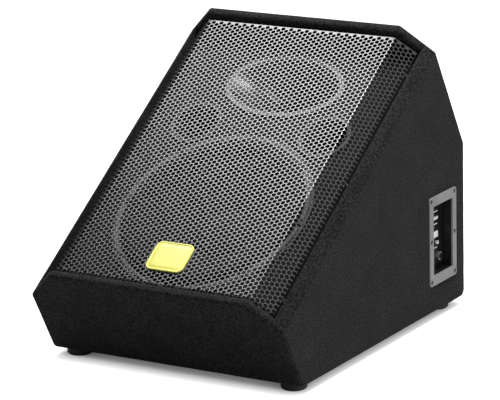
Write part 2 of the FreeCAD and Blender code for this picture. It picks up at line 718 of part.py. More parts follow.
def make_magnet(place):
    """Front plate, ferrite ring and the back plate with its vented pole."""
    keep(tube("magnet_front_plate", "gap_outer", "top_plate_radius",
              "-dish_floor - top_plate", "-dish_floor", place))
    keep(tube("woofer_magnet", "magnet_bore", "magnet_radius",
              "-dish_floor - top_plate - magnet", "-dish_floor - top_plate", place))
    top = "(-dish_floor - top_plate - magnet)"
    keep(turned("pole_piece", [
        ("pole_vent", f"{top} - back_plate"), ("back_plate_radius", f"{top} - back_plate"),
        ("back_plate_radius", top), ("pole_radius", top), ("pole_radius", "-pole_top"),
        ("pole_vent", "-pole_top")], place))


# ---------------------------------------------------------------- horn
def horn_place(height=0.0):
    return on_slope(0, size("horn_rise"), height)


def horn_column(name, extra):
    """The flare from mouth to throat: ellipses that shrink evenly in proportion."""
    sections = []
    steps = 6
    front = size("horn_proud") - size("baffle_depth")
    for k in range(steps):
        share = k / (steps - 1)
        spot = horn_place(front - share * size("horn_length"))
        ratio = f"^ (1 - {share})"
        sections.append(solid(
            "Ellipse", f"{name}{k}", spot,
            MajorRadius=f"throat * (mouth_half_width / throat) {ratio} + {extra} + {1 - share} * 0.02",
            MinorRadius=f"throat * (mouth_half_height / throat) {ratio} + {extra}"))
    return loft(name, sections)


def make_horn():
    """Horn flare with its rim and driver pad, and the compression driver bolted behind it."""
    skin = horn_column("flare_skin", "horn_wall")
    air = horn_column("flare_air", "0")
    front = size("horn_proud") - size("baffle_depth")
    rim = ellipse_prism("horn_rim_disc", "mouth_half_width + horn_rim",
                        "mouth_half_height + horn_rim", size("horn_proud"),
                        horn_place(-size("baffle_depth")))
    base = front - size("horn_length")
    pad_disc = rod("horn_pad_disc", "horn_pad_radius", "horn_pad", horn_place(base))
    bolts = [horn_place(base).multiply(Placement(Vector(side * size("driver_bolt_circle"), 0, 0),
             Rotation())) for side in (-1, 1)]
    holes = [rod(f"pad_hole{k}", "3.2", 20, spot.multiply(Placement(Vector(0, 0, -6), Rotation())))
             for k, spot in enumerate(bolts)]
    body = joined("horn_blank", [skin, rim, pad_disc])
    keep(cut("horn_flare", cut("horn_hollow", body, air), group("pad_holes", holes)))
    place = horn_place(base)
    yoke = turned("driver_yoke_blank", [
        ("throat", "0"), ("driver_radius", "0"), ("driver_radius", "-yoke"),
        ("driver_pole", "-yoke"), ("driver_pole", "-yoke - driver_magnet - driver_plate"),
        ("driver_bore", "-yoke - driver_magnet - driver_plate")], place)
    yoke_holes = [rod(f"yoke_hole{k}", "3.2", 20,
                      spot.multiply(Placement(Vector(0, 0, -16), Rotation())))
                  for k, spot in enumerate(bolts)]
    keep(cut("driver_yoke", yoke, group("yoke_holes", yoke_holes)))
    keep(tube("driver_magnet_ring", "driver_magnet_bore", "driver_radius",
              "-yoke - driver_magnet", "-yoke", place))
    back = "(-yoke - driver_magnet - driver_plate)"
    keep(tube("driver_top_plate", "driver_gap", "driver_plate_radius", back,
              "-yoke - driver_magnet", place))
    plug = turned("phase_plug", [
        ("0", back), ("driver_bore", back), ("driver_bore - 0.6", f"{back} + 3"),
        ("9", f"{back} + 4"), ("2.5", f"{back} + 20"), ("0", f"{back} + 20.5")], place)
    slot = new_sketch(plug, "XY_Plane", f"{back} - 1")
    oblong(slot, "3", "0.7", x="13")
    slit = pocket(plug, slot, "12", reverse=True)
    doc.recompute()
    around(plug, slit, 10)
    keep(plug)
    make_diaphragm(place)
    keep(turned("driver_cover", [
        ("0", f"{back} - cover"), ("driver_plate_radius", f"{back} - cover"),
        ("driver_plate_radius", back), ("driver_plate_radius - cover_wall", back),
        ("driver_plate_radius - cover_wall", f"{back} - cover + cover_wall"),
        ("0", f"{back} - cover + cover_wall")], place))
    keep(group("driver_bolts", [flipped_bolt(f"driver_bolt{k}", spot)
                                for k, spot in enumerate(bolts)]))


def flipped_bolt(name, spot):
    """A bolt whose head stands on the horn's pad and whose shank goes into the driver."""
    top = size("horn_pad")
    head = rod(f"{name}_head", "5", "4", spot.multiply(Placement(Vector(0, 0, top), Rotation())))
    shank = rod(f"{name}_shank", "3", "horn_pad + yoke - 1",
                spot.multiply(Placement(Vector(0, 0, 1 - size("yoke")), Rotation())))
    return joined(name, [head, shank])


def make_diaphragm(place):
    """The driver's dome with its coil, and the thin ring that holds it on the top plate."""
    back = -(size("yoke") + size("driver_magnet") + size("driver_plate"))
    seat = back - size("dome_stand")
    sphere = size("dome_radius") ** 2 / (2 * size("dome_rise")) + size("dome_rise") / 2
    centre = place.multiply(Placement(Vector(0, 0, seat - size("dome_rise") + sphere), Rotation()))
    skin = cut("dome_skin", rod_ball("dome_ball", f"{sphere}", centre),
               rod_ball("dome_hollow", f"{sphere} - dome_sheet", centre))
    zone = rod("dome_zone", "dome_radius", 20,
               place.multiply(Placement(Vector(0, 0, seat - 20), Rotation())))
    dome = shared("dome", skin, zone)
    coil = tube("dome_coil_ring", "dome_radius", "dome_radius + dome_coil", f"{seat}",
                f"{seat} + dome_coil_length", place)
    rim = tube("dome_rim", "dome_radius - 1", "dome_radius + dome_coil",
               f"{seat} - dome_sheet", f"{seat}", place)
    keep(joined("driver_diaphragm", [dome, coil, rim]))
    ring = tube("diaphragm_edge", "dome_radius + dome_coil", "edge_ring", f"{seat} - 0.3",
                f"{seat}", place)
    clamp = tube("diaphragm_clamp", "edge_ring", "edge_ring + 6", f"{seat} - 0.3", f"{back}",
                 place)
    keep(joined("diaphragm_ring", [ring, clamp]))


def make_ports():
    """Two plain bass ports with a small rim on the baffle."""
    for name, side in (("left_port_tube", -1), ("right_port_tube", 1)):
        place = on_slope(side * size("port_offset"), size("port_rise"), 0)
        face = "(horn_proud - baffle_depth)"
        keep(turned(name, [
            ("port_bore", face), ("port_rim", face), ("port_rim", "-baffle_depth"),
            ("port_outer", "-baffle_depth"), ("port_outer", f"{face} - port_length"),
            ("port_bore", f"{face} - port_length")], place))


# ---------------------------------------------------------------- grille and badge
def grille_screw_spots():
    """Three places on each of the grille's feet."""
    x = size("grille_half") + size("grille_flank") - size("grille_foot") / 2 - size("grille_sheet")
    top = size("grille_sheet") - size("baffle_depth")
    return [on_slope(side * x, rise, top) for side in (-1, 1) for rise in (50, 260, 470)]


def make_grille():
    """The folded steel tray: face, two 45 degree flanks, two returns and two feet."""
    body = new_body("grille_blank", on_slope(0, 0, 0))
    sketch = new_sketch(body, "XZ_Plane", "-grille_start")
    half, flank = "grille_half", "grille_flank"
    thin = "grille_sheet * tan(22.5)"
    foot = "(-baffle_depth)"
    right = [
        (f"{half}", "-grille_depth"), (f"{half} + {flank}", f"-grille_depth - {flank}"),
        (f"{half} + {flank}", foot), (f"{half} + {flank} - grille_foot", foot),
        (f"{half} + {flank} - grille_foot", f"{foot} + grille_sheet"),
        (f"{half} + {flank} - grille_sheet", f"{foot} + grille_sheet"),
        (f"{half} + {flank} - grille_sheet", f"-grille_depth - {flank} - {thin}"),
        (f"{half} - {thin}", "-grille_depth - grille_sheet")]
    left = [(f"-({x})", z) for x, z in reversed(right)]
    outline(sketch, right + left)
    pad(body, sketch, "grille_length", reverse=True)
    holes = [rod(f"grille_hole{k}", "screw_hole", 6, spot.multiply(
             Placement(Vector(0, 0, -3), Rotation()))) for k, spot in
             enumerate(grille_screw_spots())]
    holes += [rod(f"badge_hole{side}", "badge_pin + 0.15", 10,
              on_slope(size("badge_x") + (2 * side - 1) * size("badge_pin_offset"),
                       size("badge_rise"), -size("grille_depth") - 5)) for side in (0, 1)]
    keep(cut("grille", body, group("grille_holes", holes)))
    keep(group("grille_screws", [screw(f"grille_screw{k}", spot)
                                 for k, spot in enumerate(grille_screw_spots())]))
    place = on_slope(size("badge_x"), size("badge_rise"), -size("grille_depth"))
    badge = new_body("badge_plate", place)
    face = new_sketch(badge, "XY_Plane")
    oblong(face, "badge_width / 2", "badge_height / 2")
    block_pad = pad(badge, face, "badge")
    doc.recompute()
    round_edges(badge, block_pad, "badge_corner", lambda e: abs(e.tangentAt(0).z) > 0.99)
    keep(badge)
    pins = []
    for side in (-1, 1):
        spot = place.multiply(Placement(Vector(side * size("badge_pin_offset"), 0, -5), Rotation()))
        pins.append(rod(f"badge_pin{side + 1}", "badge_pin", 5, spot))
    keep(group("badge_pins", pins))


def round_edges(body, feature, radius, wanted):
    """Fillet the edges of a feature that a test picks, in the body's own frame."""
    names = [f"Edge{k + 1}" for k, edge in enumerate(feature.Shape.Edges) if wanted(edge)]
    rounding = body.newObject("PartDesign::Fillet", f"{body.Name}_rounding")
    rounding.Base = (feature, names)
    return bind(rounding, Radius=radius)


# ---------------------------------------------------------------- feet
def make_feet():
    """Four rubber feet, each with a recess for its screw."""
    feet, screws = [], []
    for k, (x, y) in enumerate(foot_spots()):
        place = Placement(Vector(x, y, 0), Rotation())
        top = "(foot_height + carpet)"
        feet.append(turned(f"foot{k}", [
            ("foot_recess", "0"), ("foot_radius - 2", "0"), ("foot_radius", "2"),
            ("foot_top_radius - 0.3", top), ("screw_hole", top),
            ("screw_hole", "foot_recess_depth"), ("foot_recess", "foot_recess_depth")], place))
        under = turned_place(x, y, size("foot_recess_depth"), (1, 0, 0), 180)
        screws.append(screw(f"foot_screw{k}", under, shank="18"))
    keep(group("rubber_feet", feet))
    keep(group("foot_screws", screws))


# ---------------------------------------------------------------- socket panel


def side_frame(x, y, z, right=True):
    """Placement on a side wall: local X along Y, local Y along Z, local Z outward."""
    spot = Vector(x, y, z)
    if right:
        return Placement(spot, Rotation(Vector(0, 1, 0), Vector(0, 0, 1), Vector(1, 0, 0), "XYZ"))
    return Placement(spot, Rotation(Vector(0, -1, 0), Vector(0, 0, 1), Vector(-1, 0, 0), "XYZ"))


def rounded_plate(name, place, half_width, half_height, thickness, radius):
    body = new_body(name, place)
    sketch = new_sketch(body, "XY_Plane")
    oblong(sketch, half_width, half_height)
    feature = pad(body, sketch, thickness)
    doc.recompute()
    rounding = round_edges(body, feature, radius, lambda e: abs(e.tangentAt(0).z) > 0.99)
    return body, rounding


def plate_screw_spots():
    side = size("plate_width") / 2 - 5.5
    tall = size("plate_height") / 2 - 6
    return [(y, z) for y in (-side, side) for z in (-tall, 0, tall)]


def make_panel():
    """Frame plate, recessed tray and what is mounted in it."""
    face = size("width") / 2 + size("plate_proud")
    floor = face - size("recess")
    seat = face - size("plate")
    centre = side_frame(seat, size("plate_y"), size("plate_z"))
    frame, _ = rounded_plate("panel_frame_blank", centre, "plate_width / 2", "plate_height / 2",
                             "plate", "plate_corner")
    window = block("panel_window", (-size("opening_width") / 2, -size("opening_height") / 2, -5),
                   ("opening_width", "opening_height", 20), centre)
    screws, holes = [], []
    for k, (y, z) in enumerate(plate_screw_spots()):
        spot = centre.multiply(Placement(Vector(y, z, size("plate")), Rotation()))
        sunk = spot.multiply(Placement(Vector(0, 0, -1.2), Rotation()))
        holes.append(rod(f"plate_hole{k}", "1.8", 20, spot.multiply(
            Placement(Vector(0, 0, -15), Rotation()))))
        holes.append(rod(f"plate_sink{k}", "3.2", 5, sunk))
        head = rod(f"plate_screw_head{k}", "3", 1.1, sunk)
        stem = rod(f"plate_screw_stem{k}", "1.6", 9, sunk.multiply(
            Placement(Vector(0, 0, -9), Rotation())))
        screws.append(joined(f"plate_screw{k}", [head, stem]))
    drills = group("plate_holes", holes)
    keep(cut("panel_frame", cut("panel_open", frame, window), drills))
    keep(group("panel_screws", screws))
    flange = block("tray_flange_block", (-size("plate_width") / 2 + 1,
                   -size("plate_height") / 2 + 1, -size("tray_flange")),
                   ("plate_width - 2", "plate_height - 2", "tray_flange"), centre)
    half_y = size("opening_width") / 2 + size("tray_wall")
    half_z = size("opening_height") / 2 + size("tray_wall")
    deep = seat - floor + size("tray_wall")
    box = block("tray_box", (-half_y, -half_z, -deep),
                ("opening_width + 2 * tray_wall", "opening_height + 2 * tray_wall",
                 f"{deep}"), centre)
    hollow = block("tray_hollow", (-size("opening_width") / 2, -size("opening_height") / 2,
                   floor - seat), ("opening_width", "opening_height", 30), centre)
    spot = side_frame(floor, size("plate_y"), size("plate_z"))
    drill = [rod(f"tray_speaker_hole{k}", "speaker_barrel + 0.2", 10,
                 spot.multiply(Placement(Vector(size("speaker_y"), size(row), -5), Rotation())))
             for k, row in enumerate(("speaker_upper", "speaker_lower"))]
    drill.append(rod("tray_jack_hole", "jack_bush + 0.15", 10, spot.multiply(
        Placement(Vector(size("jack_y"), size("jack_z"), -5), Rotation()))))
    drill.append(block("tray_switch_slot", (size("switch_y") - size("switch_slot") / 2,
                 size("switch_z") - size("switch_slot_tall") / 2, -5),
                 ("switch_slot", "switch_slot_tall", 10), spot))
    side_holes = [rod(f"tray_screw_hole{k}", "1.8", 10, centre.multiply(
        Placement(Vector(y, z, -6), Rotation()))) for k, (y, z) in
        enumerate(plate_screw_spots())]
    tray = cut("tray_open", joined("tray_blank", [flange, box]), hollow)
    keep(cut("recess_tray", tray, joined("tray_drills", drill + side_holes)))
    make_sockets(spot)
    return spot


def make_sockets(spot):
    """Two twist-lock speaker sockets, one jack socket and the slide switch."""
    for name, row in (("upper_speaker_socket", "speaker_upper"),
                      ("lower_speaker_socket", "speaker_lower")):
        place = spot.multiply(Placement(Vector(size("speaker_y"), size(row), 0), Rotation()))
        barrel = turned(f"{name}_barrel", [
            ("0", "-speaker_length"), ("speaker_barrel", "-speaker_length"),
            ("speaker_barrel", "2"), ("speaker_ring", "2"),
            ("speaker_ring", "2 - speaker_depth"), ("speaker_core", "2 - speaker_depth"),
            ("speaker_core", "0"), ("0", "0")], place)
        plate = block(f"{name}_plate", (-size("speaker_flange") / 2,
                      -size("speaker_flange") / 2 - 1.5, 0),
                      ("speaker_flange", "speaker_flange + 3", "2"), place)
        bore = rod(f"{name}_bore", "speaker_ring", 10, place)
        tabs = [block(f"{name}_tab{k}", (x, y, -size("speaker_length") - 8), (0.8, 5, 8), place)
                for k, (x, y) in enumerate(((-6, -2.5), (6, -2.5)))]
        shell = joined(f"{name}_shell", [barrel, cut(f"{name}_rim", plate, bore)])
        keep(group(name, [shell] + tabs))
    place = spot.multiply(Placement(Vector(size("jack_y"), size("jack_z"), 0), Rotation()))
    bush = rod("jack_bush_rod", "jack_bush", 8, place.multiply(
        Placement(Vector(0, 0, -3.5), Rotation())))
    case = block("jack_case", (-size("jack_body") / 2, -size("jack_body") / 2,
                 -size("tray_wall") - size("jack_length")),
                 ("jack_body", "jack_body", "jack_length"), place)
    bore = rod("jack_bore_rod", "jack_bore", "jack_length + 4", place.multiply(
        Placement(Vector(0, 0, 1.5 - size("jack_length")), Rotation())))
    keep(cut("jack_socket", joined("jack_blank", [bush, case]), bore))
    keep(tube("jack_nut", "jack_bush + 0.1", "jack_nut", "0", "3.2", place))
    place = spot.multiply(Placement(Vector(size("switch_y"), size("switch_z"), 0), Rotation()))
    floor_back = -size("tray_wall")
    case = block("switch_case", (-size("switch_body") / 2, -size("switch_tall") / 2,
                 floor_back - 8), ("switch_body", "switch_tall", 8), place)
    room = block("switch_room", (-size("slider") / 2 - 0.3, -size("switch_slot_tall") / 2,
                 floor_back - 5), ("slider + 0.6", "switch_slot_tall", 6), place)
    keep(cut("switch_body_shell", case, room), "mode_switch_body")
    low = -size("switch_slot_tall") / 2 + 0.3
    keep(block("mode_switch_slider", (-size("slider") / 2, low, floor_back - 4.6),
               ("slider", "slider", "slider_rise + tray_wall + 3.6"), place))


# ---------------------------------------------------------------- handle
def make_handle():
    """A moulded recessed carrying handle in the left-hand side, with its screws."""
    face = size("width") / 2 + size("plate_proud")
    seat = face - size("plate") - size("tray_flange")
    thick = size("plate") + size("tray_flange")
    centre = side_frame(-seat, size("handle_y"), size("handle_z"), right=False)
    plate, _ = rounded_plate("handle_flange", centre, "handle_width / 2", "handle_height / 2",
                             f"{thick}", "handle_corner")
    inside = Placement(Vector(0, 0, thick - size("cup_depth") - size("cup_wall")), Rotation())
    shell, _ = rounded_plate("cup_outside", centre.multiply(inside), "cup_width / 2 + cup_wall",
                             "cup_height / 2 + cup_wall", "cup_depth + cup_wall",
                             "cup_corner + cup_wall")
    hollow_place = Placement(Vector(0, 0, thick - size("cup_depth")), Rotation())
    hollow, _ = rounded_plate("cup_inside", centre.multiply(hollow_place), "cup_width / 2",
                              "cup_height / 2", "cup_depth + 10", "cup_corner")
    cup = cut("cup_open", joined("cup_blank", [plate, shell]), hollow)
    grip_place = centre.multiply(Placement(Vector(-size("cup_width") / 2 - 1, 0,
                                 thick - size("grip_radius") - 1), Rotation(Vector(0, 1, 0), 90)))
    grip = rod("grip_bar", "grip_radius", "cup_width + 2", grip_place)
    screws, holes = [], []
    for k, (x, y) in enumerate(handle_screw_spots()):
        spot = centre.multiply(Placement(Vector(x, y, thick), Rotation()))
        sunk = spot.multiply(Placement(Vector(0, 0, -1.5), Rotation()))
        holes.append(rod(f"handle_hole{k}", "2.1", 30, spot.multiply(
            Placement(Vector(0, 0, -25), Rotation()))))
        holes.append(rod(f"handle_sink{k}", "4", 5, sunk))
        head = rod(f"handle_screw_head{k}", "3.8", 1.4, sunk)
        stem = rod(f"handle_screw_stem{k}", "1.9", 12, sunk.multiply(
            Placement(Vector(0, 0, -12), Rotation())))
        screws.append(joined(f"handle_screw{k}", [head, stem]))
    body = joined("handle_blank", [cup, grip])
    keep(cut("carrying_handle", body, group("handle_holes", holes)))
    keep(group("handle_screws", screws))


# ---------------------------------------------------------------- crossover and wadding
def make_crossover():
    """The dividing network on the rear board, on four stand-offs."""
    inner = half_depth() - size("carpet") - size("board")
    back = inner - size("standoff")
    front = back - size("circuit")
    low_x, low_z = -size("circuit_width") / 2, size("circuit_z") - size("circuit_height") / 2
    keep(block("crossover_board", (low_x, front, low_z),
               ("circuit_width", "circuit", "circuit_height")))
    posts = []
    for k, (sx, sz) in enumerate([(a, b) for a in (-1, 1) for b in (-1, 1)]):
        x = sx * (size("circuit_width") / 2 - 6)
        z = size("circuit_z") + sz * (size("circuit_height") / 2 - 6)
        posts.append(rod(f"post{k}", "3.5", "standoff", turned_place(x, inner, z, (1, 0, 0), 90)))
    keep(group("crossover_standoffs", posts))
    coils = []
    for k, (x, z, radius, depth) in enumerate(((-38, 14, 19, 22), (8, 18, 15, 18),
                                               (47, -12, 15, 18))):
        place = turned_place(x, front, size("circuit_z") + z, (1, 0, 0), 90)
        coils.append(turned(f"coil{k}", [
            ("4", "0"), (f"{radius}", "0"), (f"{radius}", "1.5"), (f"{radius} - 1.5", "1.5"),
            (f"{radius} - 1.5", f"{depth} - 1.5"), (f"{radius}", f"{depth} - 1.5"),
            (f"{radius}", f"{depth}"), ("4", f"{depth}")], place))
    keep(group("crossover_coils", coils))
    cans = []
    for k, (x, z) in enumerate(((-42, -22), (-16, -22), (38, 22))):
        base = Vector(x - 10, front - 7, size("circuit_z") + z)
        cans.append(rod(f"can{k}", "7", 20, Placement(base, Rotation(Vector(0, 1, 0), 90))))
    keep(group("crossover_capacitors", cans))
    bricks = [block(f"brick{k}", (6, front - 9, size("circuit_z") + z), (22, 9, 8))
              for k, z in enumerate((-20, -34))]
    keep(group("crossover_resistors", bricks))
    low = size("foot_height") + size("carpet") + size("board")
    keep(block("damping_wadding", (-size("wadding_width") / 2,
               size("wadding_y") - size("wadding_length") / 2, low),
               ("wadding_width", "wadding_length", "wadding")))


def half_depth():
    return (size("rim_length") * math.cos(math.radians(size("baffle_angle")))
            + size("back_length") * math.sin(math.radians(size("back_lean")))) / 2


# ---------------------------------------------------------------- inner leads
def lead_path(points):
    """Straight runs joined by arcs as large as the runs allow."""
    corners = [Vector(*p) for p in points]
    edges, start = [], corners[0]
    for before, here, after in zip(corners, corners[1:], corners[2:]):
        first, second = (here - before), (after - here)
        reach = 0.45 * min(first.Length, second.Length)
        first.normalize()
        second.normalize()
        turn = first.getAngle(second)
        radius = reach / math.tan(turn / 2)
        print(f"bend radius {radius:.1f}, turn {math.degrees(turn):.0f}, run {reach / 0.45:.0f}")
        enter, leave = here - first * reach, here + second * reach
        inward = (second - first).normalize()
        middle = here + inward * (radius / math.cos(turn / 2) - radius)
        edges.append(Part.LineSegment(start, enter).toShape())
        edges.append(Part.Arc(enter, middle, leave).toShape())
        start = leave
    edges.append(Part.LineSegment(start, corners[-1]).toShape())
    return Part.Wire(edges)


def make_lead(name, points):
    """One twin lead held along its own route, swept round."""
    path = lead_path(points)
    away = Vector(*points[1]) - Vector(*points[0])
    ring = Part.Wire([Part.makeCircle(size("lead") / 2, Vector(*points[0]), away)])
    item = doc.addObject("Part::Feature", name)
    item.Shape = path.makePipeShell([ring], True, False)
    exact = math.pi * (size("lead") / 2) ** 2 * path.Length
    if abs(item.Shape.Volume / exact - 1) > 0.02:
        raise ValueError(f"{name} is not its section times its length")
    return keep(item)


def make_leads():
    """The leads from the crossover to the woofer and the driver, and from the sockets."""
    front = half_depth() - size("carpet") - size("board") - size("standoff") - size("circuit")
    front -= 0.3
    slope = on_slope(0, size("woofer_rise"), 0)
    blades = size("ledge_inner") + 48
    woofer_end = slope.multVec(Vector(0, blades, -size("basket_floor") - 3))
    woofer_way = slope.multVec(Vector(-4, blades + 44, -size("basket_floor") + 4))
    make_lead("woofer_lead", [
        (-58, front, 146), (-58, front - 27, 146), (-54, 186, 158), (-44, 142, 182),
        (-26, 100, 208), tuple(woofer_way), tuple(woofer_end)])
    cap = (size("horn_proud") - size("baffle_depth") - size("horn_length") - size("yoke")
           - size("driver_magnet") - size("driver_plate") - size("cover"))
    slope = on_slope(20, size("horn_rise") - 20, cap - 0.3)
    driver_end = slope.multVec(Vector(0, 0, 0))
    driver_way = slope.multVec(Vector(0, 0, -25))
    make_lead("horn_lead", [
        (58, front, 128), (58, front - 25, 129), (50, 200, 146), (32, 187, 171),
        tuple(driver_way), tuple(driver_end)])
    floor = size("width") / 2 + size("plate_proud") - size("recess")
    back = floor - size("speaker_length") - 8.3
    y = size("plate_y") + size("speaker_y")
    z = size("plate_z") + size("speaker_lower")
    make_lead("input_lead", [
        (back, y, z), (back - 29, y, z), (back - 59, y + 5, z - 9), (62, 204, 84),
        (54, front - 24, 80), (54, front, 80)])


def check_and_write():
    """Recompute, refuse anything failed or empty, and write one STEP per sub-part."""
    doc.recompute()
    for item in doc.Objects:
        if "Invalid" in item.State or "Error" in item.State:
            raise ValueError(f"{item.Label} failed: {item.State}")
    os.makedirs("parts", exist_ok=True)
    for label, item in parts.items():
        shape = item.Shape
        if shape.isNull() or not shape.isValid() or not shape.Solids:
            raise ValueError(f"{label} has no valid solid")
        shape.exportStep(os.path.join("parts", f"{label}.step"))
        print(f"{label}: {len(shape.Solids)} solid(s), {shape.Volume / 1000:.2f} cm3")


def main():
    fill_sheet()
    make_sides()
    make_baffle()
    make_woofer()
    make_horn()
    make_ports()
    make_grille()
    make_feet()
    make_panel()
    make_handle()
    make_crossover()
    make_leads()
    check_and_write()


main()
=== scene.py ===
"""Looks of a carpeted stage monitor wedge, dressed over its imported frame.

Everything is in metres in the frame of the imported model: +Z up, the grille facing -Y.
"""
from __future__ import annotations

import json
import logging
import math
from collections.abc import Callable, Iterable, Sequence
from dataclasses import dataclass, field
from enum import Enum

import bmesh
import bpy
from mathutils import Matrix, Vector, noise

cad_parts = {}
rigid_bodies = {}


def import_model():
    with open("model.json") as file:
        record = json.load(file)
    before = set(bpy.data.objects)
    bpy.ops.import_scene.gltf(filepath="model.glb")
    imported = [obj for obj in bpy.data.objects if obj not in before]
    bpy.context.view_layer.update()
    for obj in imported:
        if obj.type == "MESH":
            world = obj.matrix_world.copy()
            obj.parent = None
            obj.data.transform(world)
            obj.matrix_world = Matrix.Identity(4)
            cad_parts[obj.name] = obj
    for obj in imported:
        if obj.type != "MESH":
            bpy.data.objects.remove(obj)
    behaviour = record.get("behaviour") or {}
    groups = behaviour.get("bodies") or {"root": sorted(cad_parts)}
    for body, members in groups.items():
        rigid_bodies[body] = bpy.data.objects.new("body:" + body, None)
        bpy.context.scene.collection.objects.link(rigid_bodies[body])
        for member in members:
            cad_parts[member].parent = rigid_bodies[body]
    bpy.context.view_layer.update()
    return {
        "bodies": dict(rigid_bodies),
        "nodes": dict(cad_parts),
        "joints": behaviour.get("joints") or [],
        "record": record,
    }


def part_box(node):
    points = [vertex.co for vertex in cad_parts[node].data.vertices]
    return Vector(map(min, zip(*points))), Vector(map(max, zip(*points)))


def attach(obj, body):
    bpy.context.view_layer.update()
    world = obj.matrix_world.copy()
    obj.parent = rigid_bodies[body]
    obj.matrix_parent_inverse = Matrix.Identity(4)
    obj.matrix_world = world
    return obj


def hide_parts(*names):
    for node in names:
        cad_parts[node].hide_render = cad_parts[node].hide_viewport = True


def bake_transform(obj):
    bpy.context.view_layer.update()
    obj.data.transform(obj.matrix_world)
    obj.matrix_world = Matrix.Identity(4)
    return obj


LOG = logging.getLogger("stage_monitor_wedge")
MM = 0.001
Colour = tuple[float, float, float]
Point = tuple[float, float, float]


# ---------------------------------------------------------------- material building
class Pattern(Enum):
    """Procedural textures that a finish may use."""

    NOISE = "ShaderNodeTexNoise"
    CELLS = "ShaderNodeTexVoronoi"
    WAVES = "ShaderNodeTexWave"


class NodeBench:
    """Builds one material's node graph, one small step at a time."""

    def __init__(self, name: str) -> None:
        """Start a material with a single shader called name."""
        self.material = bpy.data.materials.new(f"{name}_finish")
        self.material.use_nodes = True
        self.nodes = self.material.node_tree.nodes
        self.links = self.material.node_tree.links
        self.shader = self.nodes["Principled BSDF"]
        self.place = self.nodes.new("ShaderNodeTexCoord").outputs["Object"]

    def set(self, **sockets: float | Colour) -> NodeBench:
        """Set constant values on the shader.

        Args:
            sockets: socket names with underscores for spaces, and their values.

        Returns:
            The bench, so that calls can follow one another.
        """
        for name, value in sockets.items():
            socket = self.shader.inputs[name.replace("_", " ")]
            is_colour = isinstance(value, tuple)
            socket.default_value = (*value, 1.0) if is_colour else value
        return self

    def stretched(self, stretch: Point) -> bpy.types.NodeSocket:
        """Object coordinates scaled by a factor along each axis."""
        node = self.nodes.new("ShaderNodeMapping")
        node.inputs["Scale"].default_value = stretch
        self.links.new(self.place, node.inputs["Vector"])
        return node.outputs["Vector"]

    def texture(self, pattern: Pattern, scale: float, out: int = 0, detail: float = 2.0,
                stretch: Point = (1.0, 1.0, 1.0)) -> bpy.types.NodeSocket:
        """Add a procedural texture in object space.

        Args:
            pattern: which texture.
            scale: features per metre.
            out: which output of the texture to use.
            detail: octaves, where the texture has them.
            stretch: scale of the coordinates along each axis.

        Returns:
            The texture's output.
        """
        node = self.nodes.new(pattern.value)
        node.inputs["Scale"].default_value = scale
        if "Detail" in node.inputs:
            node.inputs["Detail"].default_value = detail
        self.links.new(self.stretched(stretch), node.inputs["Vector"])
        return node.outputs[out]

    def ramp(self, source: bpy.types.NodeSocket, low: float, high: float,
             first: Colour, last: Colour) -> bpy.types.NodeSocket:
        """Turn a grey value into a colour between two others.

        Args:
            source: the grey value.
            low: where the first colour ends.
            high: where the last colour begins.
            first: colour below low.
            last: colour above high.

        Returns:
            The colour output.
        """
        node = self.nodes.new("ShaderNodeValToRGB")
        node.color_ramp.elements[0].position = low
        node.color_ramp.elements[1].position = high
        node.color_ramp.elements[0].color = (*first, 1.0)
        node.color_ramp.elements[1].color = (*last, 1.0)
        self.links.new(source, node.inputs["Fac"])
        return node.outputs["Color"]

    def over(self, share: bpy.types.NodeSocket, under: bpy.types.NodeSocket,
             top: Colour) -> bpy.types.NodeSocket:
        """Lay one even colour over another source by a varying share."""
        node = self.nodes.new("ShaderNodeMix")
        node.data_type = "RGBA"
        self.links.new(share, node.inputs["Factor"])
        self.links.new(under, node.inputs["A"])
        node.inputs["B"].default_value = (*top, 1.0)
        return node.outputs["Result"]

    def multiplied(self, first: bpy.types.NodeSocket,
                   second: bpy.types.NodeSocket) -> bpy.types.NodeSocket:
        """Darken or lighten one colour by another."""
        node = self.nodes.new("ShaderNodeMix")
        node.data_type = "RGBA"
        node.blend_type = "MULTIPLY"
        node.inputs["Factor"].default_value = 1.0
        self.links.new(first, node.inputs["A"])
        self.links.new(second, node.inputs["B"])
        return node.outputs["Result"]

    def colour(self, source: bpy.types.NodeSocket) -> NodeBench:
        """Feed the shader's base colour."""
        self.links.new(source, self.shader.inputs["Base Color"])
        return self

    def roughness(self, source: bpy.types.NodeSocket, low: float, high: float) -> NodeBench:
        """Feed the shader's roughness from a grey value spread from low to high."""
        node = self.nodes.new("ShaderNodeMapRange")
        node.inputs["To Min"].default_value = low
        node.inputs["To Max"].default_value = high
        self.links.new(source, node.inputs["Value"])
        self.links.new(node.outputs["Result"], self.shader.inputs["Roughness"])
        return self

    def bump(self, source: bpy.types.NodeSocket, depth: float, strength: float = 1.0,
             ) -> NodeBench:
        """Raise the surface by a grey value, over any bump already there."""
        node = self.nodes.new("ShaderNodeBump")
        node.inputs["Distance"].default_value = depth
        node.inputs["Strength"].default_value = strength
        self.links.new(source, node.inputs["Height"])
        normal = self.shader.inputs["Normal"]
        if normal.is_linked:
            self.links.new(normal.links[0].from_socket, node.inputs["Normal"])
        self.links.new(node.outputs["Normal"], normal)
        return self


